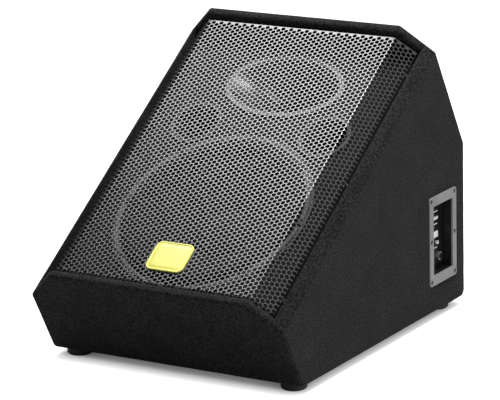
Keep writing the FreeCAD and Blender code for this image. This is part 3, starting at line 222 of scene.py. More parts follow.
# ---------------------------------------------------------------- finishes
@dataclass(frozen=True)
class FeltCarpet:
    """Needle-punched cabinet carpet: charcoal with lighter flecks and a fibrous nap."""

    name: str = "felt_carpet"
    dark: Colour = (0.0025, 0.0025, 0.0028)
    light: Colour = (0.0205, 0.0205, 0.0215)
    fleck: Colour = (0.058, 0.058, 0.061)

    def make(self) -> bpy.types.Material:
        """Build the carpet material."""
        bench = NodeBench(self.name).set(Roughness=0.96, Specular_IOR_Level=0.12)
        bench.set(Sheen_Weight=0.05, Sheen_Roughness=0.5, Sheen_Tint=(0.75, 0.77, 0.8))
        fibre = bench.texture(Pattern.NOISE, 900.0, detail=4.0)
        nap = bench.texture(Pattern.NOISE, 390.0, detail=3.0)
        cloud = bench.texture(Pattern.NOISE, 26.0, detail=3.0)
        tone = bench.ramp(nap, 0.42, 0.60, self.dark, self.light)
        worn = bench.ramp(cloud, 0.3, 0.75, (0.72, 0.72, 0.72), (1.22, 1.22, 1.22))
        flecks = bench.ramp(fibre, 0.60, 0.74, (0.0, 0.0, 0.0), (0.7, 0.7, 0.7))
        bench.colour(bench.over(flecks, bench.multiplied(tone, worn), self.fleck))
        return bench.bump(fibre, 0.0007).bump(nap, 0.0014, 0.8).material


@dataclass(frozen=True)
class GrillePaint:
    """Black stove enamel on perforated steel, with a soft gloss and fine orange peel."""

    name: str = "grille_enamel"
    base: Colour = (0.022, 0.022, 0.023)

    def make(self) -> bpy.types.Material:
        """Build the enamel."""
        bench = NodeBench(self.name).set(Specular_IOR_Level=0.8)
        bench.set(Coat_Weight=0.3, Coat_Roughness=0.3)
        peel = bench.texture(Pattern.NOISE, 900.0)
        patch = bench.texture(Pattern.NOISE, 14.0)
        tone = bench.ramp(patch, 0.3, 0.7, self.base, tuple(1.5 * c for c in self.base))
        return bench.colour(tone).roughness(peel, 0.27, 0.42).bump(peel, 0.0001, 0.4).material


@dataclass(frozen=True)
class Moulded:
    """Moulded plastic or rubber with a fine spark-eroded grain."""

    name: str
    base: Colour
    rough: float = 0.5
    grain: float = 1400.0
    relief: float = 0.00006
    coat: float = 0.0

    def make(self) -> bpy.types.Material:
        """Build the plastic."""
        bench = NodeBench(self.name).set(Coat_Weight=self.coat, Coat_Roughness=0.1)
        speck = bench.texture(Pattern.NOISE, self.grain)
        patch = bench.texture(Pattern.NOISE, 22.0, detail=4.0)
        tone = bench.ramp(patch, 0.25, 0.8, tuple(0.82 * c for c in self.base),
                          tuple(1.2 * c + 0.002 for c in self.base))
        bench.colour(tone).roughness(patch, self.rough - 0.07, self.rough + 0.1)
        return bench.bump(speck, self.relief, 0.5).material


@dataclass(frozen=True)
class Metal:
    """Bare or plated metal with drawn or turned marks."""

    name: str
    base: Colour
    rough: float = 0.3
    streak: Point = (1.0, 1.0, 1.0)

    def make(self) -> bpy.types.Material:
        """Build the metal."""
        bench = NodeBench(self.name).set(Metallic=1.0)
        marks = bench.texture(Pattern.NOISE, 420.0, stretch=self.streak, detail=4.0)
        stain = bench.texture(Pattern.NOISE, 35.0, detail=5.0)
        tone = bench.ramp(stain, 0.3, 0.75, tuple(0.75 * c for c in self.base), self.base)
        bench.colour(tone).roughness(marks, self.rough - 0.08, self.rough + 0.14)
        return bench.bump(marks, 0.00005, 0.4).material


@dataclass(frozen=True)
class Plywood:
    """Birch plywood: long grain with darker growth lines."""

    name: str
    pale: Colour
    deep: Colour
    rough: float = 0.62

    def make(self) -> bpy.types.Material:
        """Build the wood."""
        bench = NodeBench(self.name).set(Specular_IOR_Level=0.3)
        grain = bench.texture(Pattern.NOISE, 9.0, stretch=(1.0, 14.0, 14.0), detail=8.0)
        pores = bench.texture(Pattern.NOISE, 60.0, stretch=(1.0, 22.0, 22.0), detail=5.0)
        tone = bench.ramp(grain, 0.34, 0.66, self.deep, self.pale)
        shade = bench.ramp(pores, 0.35, 0.55, (0.7, 0.66, 0.62), (1.0, 1.0, 1.0))
        bench.colour(bench.multiplied(tone, shade))
        return bench.roughness(pores, self.rough, self.rough + 0.15).bump(pores, 0.0002).material


@dataclass(frozen=True)
class Fibrous:
    """Paper, cork, cloth or wadding: matte, with fibres of one size running all ways."""

    name: str
    dark: Colour
    light: Colour
    fibre: float = 500.0
    relief: float = 0.0004
    sheen: float = 0.0

    def make(self) -> bpy.types.Material:
        """Build the fibrous surface."""
        bench = NodeBench(self.name).set(Specular_IOR_Level=0.2, Sheen_Weight=self.sheen)
        strands = bench.texture(Pattern.NOISE, self.fibre, detail=6.0)
        crumbs = bench.texture(Pattern.CELLS, self.fibre * 1.7)
        tone = bench.ramp(strands, 0.33, 0.68, self.dark, self.light)
        bench.colour(tone).roughness(crumbs, 0.78, 0.98)
        return bench.bump(strands, self.relief).bump(crumbs, self.relief / 3).material


@dataclass(frozen=True)
class Winding:
    """Enamelled copper wire wound in fine turns."""

    name: str = "copper_winding"
    base: Colour = (0.62, 0.25, 0.09)

    def make(self) -> bpy.types.Material:
        """Build the winding."""
        bench = NodeBench(self.name).set(Metallic=1.0, Coat_Weight=0.4)
        turns = bench.texture(Pattern.WAVES, 260.0, out=1, detail=0.0)
        drift = bench.texture(Pattern.NOISE, 120.0)
        tone = bench.ramp(drift, 0.3, 0.7, tuple(0.6 * c for c in self.base), self.base)
        return bench.colour(tone).roughness(drift, 0.25, 0.45).bump(turns, 0.0003).material


@dataclass(frozen=True)
class FloorSweep:
    """Seamless white studio floor whose camera-only glow is dimmed by ambient occlusion near the
    wedge into a painted contact shadow.
    """

    name: str = "studio_floor"
    base: Colour = (0.62, 0.62, 0.62)
    glow: float = 0.95
    contact: float = 0.036
    open_air: float = 0.7

    def make(self) -> bpy.types.Material:
        """Build the floor."""
        bench = NodeBench(self.name).set(Roughness=0.8, Specular_IOR_Level=0.0)
        patch = bench.texture(Pattern.NOISE, 3.0)
        tone = bench.ramp(patch, 0.0, 1.0, self.base, tuple(c * 1.01 for c in self.base))
        bench.colour(tone).set(Emission_Color=(1.0, 1.0, 1.0))
        path = bench.nodes.new("ShaderNodeLightPath")
        lift = bench.nodes.new("ShaderNodeMath")
        lift.operation = "MULTIPLY"
        # Painted contact shadow: ambient occlusion near the wedge dims the floor's camera-only
        # glow.
        near = bench.nodes.new("ShaderNodeAmbientOcclusion")
        near.samples = 16
        near.inputs["Distance"].default_value = self.contact
        painted_shadow_fade = bench.nodes.new("ShaderNodeMapRange")
        painted_shadow_fade.inputs["From Max"].default_value = self.open_air
        painted_shadow_fade.inputs["To Max"].default_value = self.glow
        bench.links.new(near.outputs["AO"], painted_shadow_fade.inputs["Value"])
        bench.links.new(painted_shadow_fade.outputs["Result"], lift.inputs[1])
        bench.links.new(path.outputs["Is Camera Ray"], lift.inputs[0])
        bench.links.new(lift.outputs["Value"], bench.shader.inputs["Emission Strength"])
        return bench.material


class Finish(Enum):
    """Every finish on the wedge."""

    CARPET = FeltCarpet()
    GRILLE = GrillePaint()
    # Near-black painted shade for the grille's back, its hole walls and the strip before each side
    # bend, where the real sheet carries the same enamel as its front.
    GRILLE_BACK = Fibrous("grille_painted_shade", (0.001, 0.001, 0.001), (0.003, 0.003, 0.003), 700.0,
                          0.00005)
    PLYWOOD = Plywood("birch_plywood", (0.56, 0.40, 0.23), (0.40, 0.26, 0.13))
    STAINED = Plywood("black_stained_board", (0.003, 0.003, 0.003), (0.0015, 0.0015, 0.0015), 0.8)
    BASKET = Moulded("basket_enamel", (0.005, 0.005, 0.005), 0.5, 900.0)
    GASKET = Fibrous("cork_gasket", (0.09, 0.087, 0.08), (0.20, 0.195, 0.18), 700.0, 0.0004)
    CONE = Fibrous("pressed_pulp", (0.002, 0.002, 0.0022), (0.006, 0.006, 0.0062), 420.0, 0.0003)
    FOAM = Fibrous("doped_roll", (0.002, 0.002, 0.002), (0.005, 0.005, 0.005), 900.0, 0.0001)
    SPIDER = Fibrous("phenolic_cloth", (0.30, 0.14, 0.03), (0.52, 0.30, 0.08), 1100.0, 0.0002)
    WADDING = Fibrous("polyester_wadding", (0.5, 0.5, 0.49), (0.85, 0.85, 0.83), 260.0, 0.003, 0.4)
    COPPER = Winding()
    ZINC = Metal("zinc_plate", (0.62, 0.60, 0.56), 0.34, (1.0, 1.0, 6.0))
    DULL_ZINC = Metal("dull_zinc", (0.07, 0.07, 0.07), 0.6)
    NICKEL = Metal("nickel_plate", (0.82, 0.80, 0.77), 0.4)
    FERRITE = Moulded("ferrite", (0.045, 0.044, 0.044), 0.7, 500.0, 0.0002)
    FOIL = Metal("spun_foil", (0.8, 0.8, 0.82), 0.24, (6.0, 1.0, 1.0))
    HORN = Moulded("horn_shell", (0.004, 0.004, 0.0043), 0.3, 700.0, 0.00001)
    MATTE = Moulded("matte_shell", (0.016, 0.016, 0.017), 0.5)
    TRAY = Moulded("tray_shell", (0.004, 0.004, 0.0044), 0.36, 900.0, 0.00004)
    WHITE = Moulded("white_nylon", (0.78, 0.78, 0.75), 0.35)
    BLACK_STEEL = Moulded("blackened_steel", (0.008, 0.008, 0.0085), 0.5, 1500.0)
    PANEL = Moulded("panel_paint", (0.19, 0.19, 0.191), 0.5, 1800.0, 0.00005)
    RUBBER = Moulded("foot_rubber", (0.014, 0.014, 0.015), 0.55, 600.0, 0.0002)
    BADGE = Moulded("badge_enamel", (0.66, 0.64, 0.14), 0.4, 800.0, 0.00003, 0.1)
    CIRCUIT = Moulded("circuit_laminate", (0.03, 0.13, 0.06), 0.3, 500.0, 0.0001, 0.3)
    CAN = Moulded("film_can", (0.62, 0.42, 0.05), 0.3, 500.0, 0.0001, 0.3)
    BRICK = Moulded("ceramic_brick", (0.72, 0.70, 0.62), 0.75, 400.0, 0.0003)
    SLEEVE = Moulded("lead_sleeve", (0.02, 0.02, 0.02), 0.45, 800.0)

    @property
    def material(self) -> bpy.types.Material:
        """The finish's one shared material."""
        made = bpy.data.materials.get(f"{self.value.name}_finish")
        return made or self.value.make()


NODE_FINISH: dict[Finish, tuple[str, ...]] = {
    Finish.PLYWOOD: ("right_side_board", "left_side_board", "rear_board", "top_back_board",
                     "toe_board", "bottom_board", "baffle_battens"),
    Finish.STAINED: ("baffle_board",),
    Finish.BASKET: ("woofer_frame",),
    Finish.GASKET: ("woofer_gasket",),
    Finish.CONE: ("woofer_cone", "dust_cap"),
    Finish.COPPER: ("voice_coil", "crossover_coils"),
    Finish.ZINC: ("magnet_front_plate", "pole_piece", "driver_yoke", "driver_top_plate",
                  "driver_bolts"),
    Finish.FERRITE: ("woofer_magnet", "driver_magnet_ring"),
    Finish.HORN: ("horn_flare",),
    Finish.MATTE: ("woofer_terminals", "phase_plug", "driver_cover", "left_port_tube",
                   "right_port_tube", "upper_speaker_socket", "lower_speaker_socket",
                   "jack_socket", "mode_switch_body", "carrying_handle"),
    Finish.FOIL: ("driver_diaphragm", "diaphragm_ring"),
    Finish.TRAY: ("recess_tray",),
    Finish.NICKEL: ("badge_pins", "jack_nut"),
    Finish.RUBBER: ("rubber_feet",),
    Finish.PANEL: ("panel_frame",),
    Finish.WHITE: ("mode_switch_slider", "crossover_standoffs"),
    Finish.CIRCUIT: ("crossover_board",),
    Finish.CAN: ("crossover_capacitors",),
    Finish.BRICK: ("crossover_resistors",),
    Finish.SLEEVE: ("woofer_lead", "horn_lead", "input_lead"),
}


# ---------------------------------------------------------------- mesh helpers
def show(name: str, mesh: bpy.types.Mesh, finish: Finish) -> bpy.types.Object:
    """Link a mesh into the scene as a piece with one finish.

    Args:
        name: the piece's name.
        mesh: its geometry, in metres in the row frame.
        finish: what covers it.

    Returns:
        The new object.
    """
    piece = bpy.data.objects.new(name, mesh)
    bpy.context.scene.collection.objects.link(piece)
    piece.data.materials.append(finish.material)
    return piece


def fitted(piece: bpy.types.Object, node: str, slot: str, body: str) -> bpy.types.Object:
    """Hide the node a piece stands for and hang the piece on the body it rides."""
    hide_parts(node)
    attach(piece, body)
    return piece


def finished(name: str, work: bmesh.types.BMesh, sharp: float | None = None,
             smooth: bool = True) -> bpy.types.Mesh:
    """Turn a bmesh into a mesh and free it.

    Args:
        name: the mesh's name.
        work: the geometry, which is used up.
        sharp: angle in degrees past which an edge stays crisp, if any does.
        smooth: whether faces are shaded smooth.

    Returns:
        The mesh.
    """
    mesh = bpy.data.meshes.new(name)
    for face in work.faces:
        face.smooth = smooth
    work.to_mesh(mesh)
    work.free()
    if sharp is not None:
        mesh.set_sharp_from_angle(angle=math.radians(sharp))
    return mesh


def mesh_from(name: str, build: Callable[[bmesh.types.BMesh], None],
              sharp: float | None = None, smooth: bool = True) -> bpy.types.Mesh:
    """Run a builder on an empty bmesh and keep the result."""
    work = bmesh.new()
    build(work)
    return finished(name, work, sharp, smooth)


def ray(side: Vector, across: Vector, turn: float) -> Vector:
    """Direction at an angle between two that are square to each other."""
    return side * math.cos(turn) + across * math.sin(turn)


def copied(node: str) -> bmesh.types.BMesh:
    """A bmesh with a copy of a frame node's geometry, its seams closed."""
    work = bmesh.new()
    work.from_mesh(bpy.data.objects[node].data)
    bmesh.ops.remove_doubles(work, verts=work.verts, dist=0.00002)
    return work


def gridded(work: bmesh.types.BMesh, step: float) -> None:
    """Slice a mesh by evenly spaced planes along all three axes."""
    for axis in range(3):
        places = [v.co[axis] for v in work.verts]
        normal = Vector([float(axis == k) for k in range(3)])
        count = int((max(places) - min(places)) / step)
        for k in range(1, count + 1):
            spot = normal * (min(places) + k * step - step / 3)
            everything = work.verts[:] + work.edges[:] + work.faces[:]
            bmesh.ops.bisect_plane(work, geom=everything, plane_co=spot, plane_no=normal,
                                   dist=0.00002)


def bridged(work: bmesh.types.BMesh, loops: Sequence[Sequence[bmesh.types.BMVert]]) -> None:
    """Join closed loops of equal length, one after another, with four-sided faces."""
    for one, two in zip(loops, loops[1:]):
        for k in range(len(one)):
            after = (k + 1) % len(one)
            work.faces.new([one[k], one[after], two[after], two[k]])


# ---------------------------------------------------------------- the sloping front
@dataclass(frozen=True)
class Slope:
    """Frame of the tilted front: x across, rise up the slope, height out of the rim plane."""

    outward: Vector
    upward: Vector
    low: float
    base: float

    @classmethod
    def read(cls, joints: Iterable[dict], grille: bpy.types.Object) -> Slope:
        """Work the frame out from the woofer's travel and the grille.

        Args:
            joints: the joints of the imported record.
            grille: the grille's frame node.

        Returns:
            The slope's frame.
        """
        travel = next(j for j in joints if j["name"] == "woofer_travel")
        outward = Vector(travel["axis"]).normalized()
        upward = Vector((0.0, outward.z, -outward.y))
        low = min(v.co.dot(upward) for v in grille.data.vertices)
        face = max(v.co.dot(outward) for v in grille.data.vertices)
        return cls(outward, upward, low - 14.5 * MM, face + 8.0 * MM)

    def at(self, x: float, rise: float, height: float) -> Vector:
        """A point on the slope, from millimetres to metres in the row frame."""
        along = self.upward * (self.low + rise * MM)
        return Vector((x * MM, 0.0, 0.0)) + along + self.outward * (self.base + height * MM)


# ---------------------------------------------------------------- cabinet carpet
@dataclass
class CarpetCover:
    """The felt on the cabinet: one wrap round the wedge and one piece on each side."""

    body: str
    step: float = 9.0 * MM
    nap: float = 0.1 * MM
    ripple: float = 0.22 * MM
    fibre_scale: float = 260.0
    ripple_scale: float = 31.0
    nodes: tuple[str, ...] = ("carpet_wrap", "right_carpet", "left_carpet")

    def felted(self, node: str) -> bpy.types.Mesh:
        """Copy a carpet solid and give it a soft, slightly uneven surface."""
        work = copied(node)
        gridded(work, self.step)
        bmesh.ops.triangulate(work, faces=[f for f in work.faces if len(f.verts) > 4])
        work.normal_update()
        shifts = {}
        for vert in work.verts:
            fine = noise.noise(vert.co * self.fibre_scale)
            broad = noise.noise(vert.co * self.ripple_scale + Vector((7.0, 3.0, 1.0)))
            shifts[vert] = vert.normal * (fine * self.nap + broad * self.ripple)
        for vert, shift in shifts.items():
            vert.co += shift
        return finished(f"{node}_felt", work, sharp=50.0)

    def build(self) -> list[bpy.types.Object]:
        """Make every carpet piece."""
        made = []
        for node in self.nodes:
            piece = show(f"{node}_felt", self.felted(node), Finish.CARPET)
            made.append(fitted(piece, node, "carpet", self.body))
        return made


# ---------------------------------------------------------------- grille
@dataclass
class PerforatedGrille:
    """Folded tray of perforated steel with staggered round holes, in millimetres."""

    slope: Slope
    body: str
    half: float = 152.0
    flank: float = 29.0
    depth: float = 8.0
    sheet: float = 0.7
    start: float = 14.5
    length: float = 493.0
    foot_depth: float = 46.0
    foot: float = 12.0
    pitch: float = 7.45
    hole: float = 3.28
    fold: float = 2.2
    corners: int = 12
    profile: list[tuple[float, float]] = field(default_factory=list)

    @property
    def ring(self) -> float:
        """Reach of a hole's six-sided cell, from its middle to a corner."""
        return self.pitch / math.sqrt(3.0)

    def half_section(self) -> list[tuple[float, float]]:
        """Corners of the right half of the folded section, from the middle outwards."""
        edge = self.half + self.flank
        return [(0.0, -self.depth), (self.half, -self.depth),
                (edge, -self.depth - self.flank), (edge, -self.foot_depth),
                (edge - self.foot, -self.foot_depth)]

    def rounded(self) -> list[tuple[float, float]]:
        """The half section with its bends rounded, as closely spaced points."""
        corners = [Vector(p) for p in self.half_section()]
        points = [corners[0]]
        for before, here, after in zip(corners, corners[1:], corners[2:]):
            into = (here - before).normalized()
            away = (after - here).normalized()
            start, end = here - into * self.fold, here + away * self.fold
            for k in range(5):
                share = k / 4.0
                bend = start.lerp(here, share).lerp(here.lerp(end, share), share)
                points.append(bend)
        points.append(corners[-1])
        return [(p.x, p.y) for p in points]

    def spread(self, across: float) -> tuple[float, float, float, float]:
        """Fold a distance along the flat sheet into the section."""
        side = math.copysign(1.0, across)
        left = abs(across)
        path = self.profile
        for (x0, z0), (x1, z1) in zip(path, path[1:]):
            run = math.hypot(x1 - x0, z1 - z0)
            if left <= run or (x1, z1) == path[-1]:
                share = left / run
                x, z = x0 + (x1 - x0) * share, z0 + (z1 - z0) * share
                return side * x, z, -side * (z1 - z0) / run, (x1 - x0) / run
            left -= run
        return side * path[-1][0], path[-1][1], 0.0, 1.0

    def flat_width(self) -> float:
        """Half the width of the sheet before folding."""
        path = self.profile
        return sum(math.hypot(b[0] - a[0], b[1] - a[1]) for a, b in zip(path, path[1:]))

    def columns(self) -> int:
        """How many columns of holes there are beyond the middle one, on each side."""
        perforated = self.half + self.flank * math.sqrt(2.0) + 5.0
        return int((perforated - self.ring) / (1.5 * self.ring))

    def flat_pattern(self) -> tuple[list[tuple[float, float]], list[list[int]]]:
        """Lay out the flat sheet: ring cells round every hole, and plain borders."""
        step = 1.5 * self.ring
        columns = self.columns()
        rows = int((self.length - 1.0) / self.pitch)
        margin = (self.length - rows * self.pitch) / 2.0
        points: list[tuple[float, float]] = []
        index: dict[tuple[int, int], int] = {}
        faces: list[list[int]] = []

        def point(across: float, rise: float) -> int:
            key = (round(across * 1000), round(rise * 1000))
            if key not in index:
                index[key] = len(points)
                points.append((across, rise))
            return index[key]

        def ring_points(across: float, rise: float) -> list[tuple[float, float]]:
            reach = (self.ring, self.ring * math.cos(math.pi / 6))
            return [(across + reach[k % 2] * math.cos(a), rise + reach[k % 2] * math.sin(a))
                    for k, a in enumerate(turns)]

        turns = [math.tau * k / self.corners for k in range(self.corners)]
        top = self.start + margin + rows * self.pitch
        bottom = self.start + margin
        for column in range(-columns, columns + 1):
            shifted = column % 2 == 1
            across = column * step
            count = rows - 1 if shifted else rows
            first = bottom + self.pitch * (1.0 if shifted else 0.5)
            for row in range(count):
                rise = first + row * self.pitch
                outer = [point(*p) for p in ring_points(across, rise)]
                inner = [point(across + self.hole * math.cos(a),
                               rise + self.hole * math.sin(a)) for a in turns]
                for k in range(self.corners):
                    after = (k + 1) % self.corners
                    faces.append([outer[k], outer[after], inner[after], inner[k]])
            self.close_ends(point, faces, across, shifted, bottom, top, margin)
        edge = columns * step
        shifted = columns % 2 == 1
        for side in (-1.0, 1.0):
            self.close_side(point, faces, side, edge, shifted, bottom, rows)
        return points, faces

    def close_ends(self, point: Callable[[float, float], int], faces: list[list[int]],
                   across: float, shifted: bool, bottom: float, top: float,
                   margin: float) -> None:
        """Add the plain steel between a column's last cells and the sheet's two ends.

        Args:
            point: numbers a point of the flat sheet.
            faces: list that the new faces go to.
            across: the column's place.
            shifted: whether the column is a staggered one.
            bottom: where the cells begin.
            top: where the cells end.
            margin: plain steel beyond the cells.
        """
        ring, half = self.ring, self.pitch / 2.0
        quarter = 0.75 * ring
        for line, inward in ((bottom, 1.0), (top, -1.0)):
            far = line - inward * margin
            if shifted:
                notch = [(across - ring, line), (across - quarter, line + inward * half / 2.0),
                         (across - ring / 2.0, line + inward * half),
                         (across, line + inward * half),
                         (across + ring / 2.0, line + inward * half),
                         (across + quarter, line + inward * half / 2.0), (across + ring, line)]
                faces.append([point(*p) for p in notch])
                strip = [(across - ring, line), (across + ring, line),
                         (across + ring, far), (across - ring, far)]
            else:
                strip = [(across - ring / 2.0, line), (across, line),
                         (across + ring / 2.0, line), (across + ring / 2.0, far),
                         (across - ring / 2.0, far)]
            faces.append([point(*p) for p in strip])

    def close_side(self, point: Callable[[float, float], int], faces: list[list[int]],
                   side: float, edge: float, shifted: bool, bottom: float, rows: int) -> None:
        """Add the plain return and foot beyond the last column of holes.

        Args:
            point: numbers a point of the flat sheet.
            faces: list that the new faces go to.
            side: minus one for the left, one for the right.
            edge: place of the last column.
            shifted: whether that column is a staggered one.
            bottom: where the cells begin.
            rows: cells in a plain column.
        """
        ring, half = self.ring, self.pitch / 2.0
        end = self.flat_width()
        bend = end - self.foot
        stops = [edge + ring + 0.6, bend - 1.5, bend - 0.6, bend + 0.6, bend + 1.5, end]
        count = rows - 1 if shifted else rows
        first = bottom + (half if shifted else 0.0)
        for row in range(count):
            low = first + row * self.pitch
            middle, high = low + half, low + self.pitch
            base, tip, quarter = edge + ring / 2.0, edge + ring, edge + 0.75 * ring
            lower = [(base, low), (quarter, (low + middle) / 2), (tip, middle)]
            upper = [(tip, middle), (quarter, (high + middle) / 2), (base, high)]
            near = [(stops[0], middle), (stops[0], low)]
            far = [(stops[0], high), (stops[0], middle)]
            for loop in (lower + near, upper + far):
                faces.append([point(side * a, s) for a, s in loop])
            for a, b in zip(stops, stops[1:]):
                for s0, s1 in ((low, middle), (middle, high)):
                    faces.append([point(side * a, s0), point(side * b, s0),
                                  point(side * b, s1), point(side * a, s1)])

    def sheet_mesh(self) -> bpy.types.Mesh:
        """Fold the flat pattern and give it the sheet's thickness."""
        self.profile = self.rounded()
        points, faces = self.flat_pattern()
        # Front faces wholly past this line, at the bend into each flank, take the painted-shade
        # black in place of the enamel.
        shade = self.columns() * 1.5 * self.ring - self.ring - 0.1

        def build(work: bmesh.types.BMesh) -> None:
            upper, lower, shaded = [], [], []
            for across, rise in points:
                x, z, nx, nz = self.spread(across)
                shaded.append(abs(across) > shade)
                upper.append(work.verts.new(self.slope.at(x, rise, z)))
                lower.append(work.verts.new(
                    self.slope.at(x - nx * self.sheet, rise, z - nz * self.sheet)))
            rims: dict[tuple[int, int], int] = {}
            # Material index 1 is painted shade: the back, every hole wall and the bend strip.
            for loop in faces:
                front = work.faces.new([upper[k] for k in loop])
                front.material_index = int(all(shaded[k] for k in loop))
                back = work.faces.new([lower[k] for k in reversed(loop)])
                back.material_index = 1
                for a, b in zip(loop, loop[1:] + loop[:1]):
                    if (b, a) in rims:
                        del rims[(b, a)]
                    else:
                        rims[(a, b)] = 1
            for a, b in rims:
                wall = work.faces.new([upper[b], upper[a], lower[a], lower[b]])
                wall.material_index = 1
            bmesh.ops.recalc_face_normals(work, faces=work.faces)

        return mesh_from("grille_sheet", build, sharp=20.0)

    def build(self) -> list[bpy.types.Object]:
        """Make the perforated sheet in place of the plain tray, with painted shade on its back,
        hole walls and the strip at each side bend.
        """
        piece = show("perforated_grille", self.sheet_mesh(), Finish.GRILLE)
        piece.data.materials.append(Finish.GRILLE_BACK.material)
        return [fitted(piece, "grille", "grille_steel", self.body)]


# ---------------------------------------------------------------- moving suspension
@dataclass
class FlexingRing:
    """A ring held at its rim and moved at its middle, made in sectors."""

    name: str
    node: str
    finish: Finish
    slot: str
    middle: Vector
    axis: Vector
    still: str
    moving: str
    profile: list[tuple[float, float]]
    sheet: float
    sectors: int = 16
    steps: int = 6
    rim_grip: float = 2.5
    middle_grip: float = 1.5

    def sector(self, number: int) -> bpy.types.Mesh:
        """Sweep the profile through one sector."""
        side = Vector((1.0, 0.0, 0.0))
        across = self.axis.cross(side).normalized()
        arc = math.tau / self.sectors

        def build(work: bmesh.types.BMesh) -> None:
            rows = []
            for k in range(self.steps + 1):
                way = ray(side, across, arc * (number + k / self.steps))
                upper = [self.middle + way * r * MM + self.axis * h * MM
                         for r, h in self.profile]
                lower = [p - self.axis * self.sheet * MM for p in upper]
                rows.append([work.verts.new(p) for p in upper + lower[::-1]])
            bridged(work, rows)
            bmesh.ops.recalc_face_normals(work, faces=work.faces)

        return mesh_from(f"{self.name}_{number}", build)

    def build(self) -> list[bpy.types.Object]:
        """Make every sector in place of the node."""
        made = []
        for number in range(self.sectors):
            piece = show(f"{self.name}_{number}", self.sector(number), self.finish)
            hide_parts(self.node)
            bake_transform(piece)
            made.append(piece)
        return made


@dataclass
class WooferSuspension:
    """The woofer's rolled surround and its corrugated spider."""

    slope: Slope
    rise: float = 183.0
    still: str = "cabinet"
    moving: str = "woofer_moving"
    roll_middle: float = 122.5
    roll_radius: float = 8.5
    roll_base: float = -45.2
    spider_inner: float = 26.0
    spider_rippled: float = 63.0
    spider_outer: float = 70.0
    spider_base: float = -106.0
    ripple: float = 1.2

    def roll_profile(self) -> list[tuple[float, float]]:
        """Rim to middle: outer lip, half roll, inner lip, as (radius, height)."""
        points = [(134.0, -43.2), (131.2, -43.4)]
        for k in range(13):
            turn = math.pi * k / 12
            points.append((self.roll_middle + self.roll_radius * math.cos(turn),
                           self.roll_base + self.roll_radius * math.sin(turn)))
        return points + [(112.5, self.roll_base), (109.3, self.roll_base)]

    def spider_profile(self) -> list[tuple[float, float]]:
        """Rim to middle: flat edge and six ripples, as (radius, height)."""
        flat = self.spider_base - self.ripple
        points = [(self.spider_outer, flat), (self.spider_rippled, flat)]
        run = self.spider_rippled - self.spider_inner
        for k in range(1, 37):
            height = self.spider_base - self.ripple * math.cos(math.tau * k / 6)
            points.append((self.spider_rippled - run * k / 36, height))
        return points

    def build(self) -> list[bpy.types.Object]:
        """Make the two rings."""
        middle = self.slope.at(0.0, self.rise, 0.0)
        shared = {"middle": middle, "axis": self.slope.outward, "still": self.still,
                  "moving": self.moving}
        roll = FlexingRing("surround_roll", "woofer_surround", Finish.FOAM, "surround_foam",
                           profile=self.roll_profile(), sheet=0.8, **shared)
        spider = FlexingRing("spider_cloth", "woofer_spider", Finish.SPIDER, "spider_cloth",
                             profile=self.spider_profile(), sheet=0.8, **shared)
        return roll.build() + spider.build()


# ---------------------------------------------------------------- screws
@dataclass
class ScrewSet:
    """Cross-head screws in place of one node's plain ones."""

    node: str
    slot: str
    finish: Finish
    axis: Vector
    body: str
    corners: int = 24

    def islands(self) -> list[list[Vector]]:
        """Vertices of the node, one list for each screw."""
        work = copied(self.node)
        seen: set[int] = set()
        found = []
        for start in work.verts:
            if start.index in seen:
                continue
            seen.add(start.index)
            queue, spots = [start], []
            while queue:
                here = queue.pop()
                spots.append(here.co.copy())
                for edge in here.link_edges:
                    other = edge.other_vert(here)
                    if other.index not in seen:
                        seen.add(other.index)
                        queue.append(other)
            found.append(spots)
        work.free()
        return found

    def measure(self, spots: list[Vector]) -> tuple[Vector, float, float, float, float]:
        """Read one screw's top, head radius, head height, shank radius and length."""
        along = [p.dot(self.axis) for p in spots]
        high, low = max(along), min(along)
        flat = [p - self.axis * p.dot(self.axis) for p in spots]
        lows = Vector([min(p[k] for p in flat) for k in range(3)])
        highs = Vector([max(p[k] for p in flat) for k in range(3)])
        centre = (lows + highs) / 2.0
        reach = [(p - centre).length for p in flat]
        head = max(reach)
        shank_side = [h for h, r in zip(along, reach) if r < head * 0.8]
        base = [h for h, r in zip(along, reach) if r > head * 0.95]
        shank = max(r for h, r in zip(along, reach) if h <= low + 0.00005)
        return centre + self.axis * high, head, high - min(base), shank, high - min(shank_side)

    def build_one(self, work: bmesh.types.BMesh, spots: list[Vector]) -> None:
        """Add one screw: a domed head with a cross recess, and its shank."""
        top, head, tall, shank, length = self.measure(spots)
        side = self.axis.orthogonal().normalized()
        across = self.axis.cross(side)
        slot, deep = head * 0.16, tall * 0.62
        turns = [math.tau * k / self.corners for k in range(self.corners)]
        ways = [ray(side, across, turn) for turn in turns]
        section = [(shank, -length), (shank, -tall), (head, -tall), (head, -tall * 0.45),
                   (head * 0.86, -tall * 0.12), (head * 0.66, 0.0)]
        loops = [[work.verts.new(top + way * radius + self.axis * height) for way in ways]
                 for radius, height in section]
        bridged(work, loops)
        work.faces.new(loops[0][::-1])
        inner_low, inner_high = [], []
        for turn, way in zip(turns, ways):
            fold = abs(math.sin(2.0 * turn))
            radius = head * 0.52 * (1.0 - fold) + slot * fold
            inner_high.append(work.verts.new(top + way * radius))
            inner_low.append(work.verts.new(top + way * radius * 0.75 - self.axis * deep))
        bridged(work, [loops[-1], inner_high, inner_low])
        work.faces.new(inner_low)

    def build(self) -> list[bpy.types.Object]:
        """Make all the screws as one piece."""
        def fill(work: bmesh.types.BMesh) -> None:
            for spots in self.islands():
                self.build_one(work, spots)
            bmesh.ops.recalc_face_normals(work, faces=work.faces)

        name = f"{self.node}_cross_head"
        piece = show(name, mesh_from(name, fill, sharp=35.0), self.finish)
        return [fitted(piece, self.node, self.slot, self.body)]


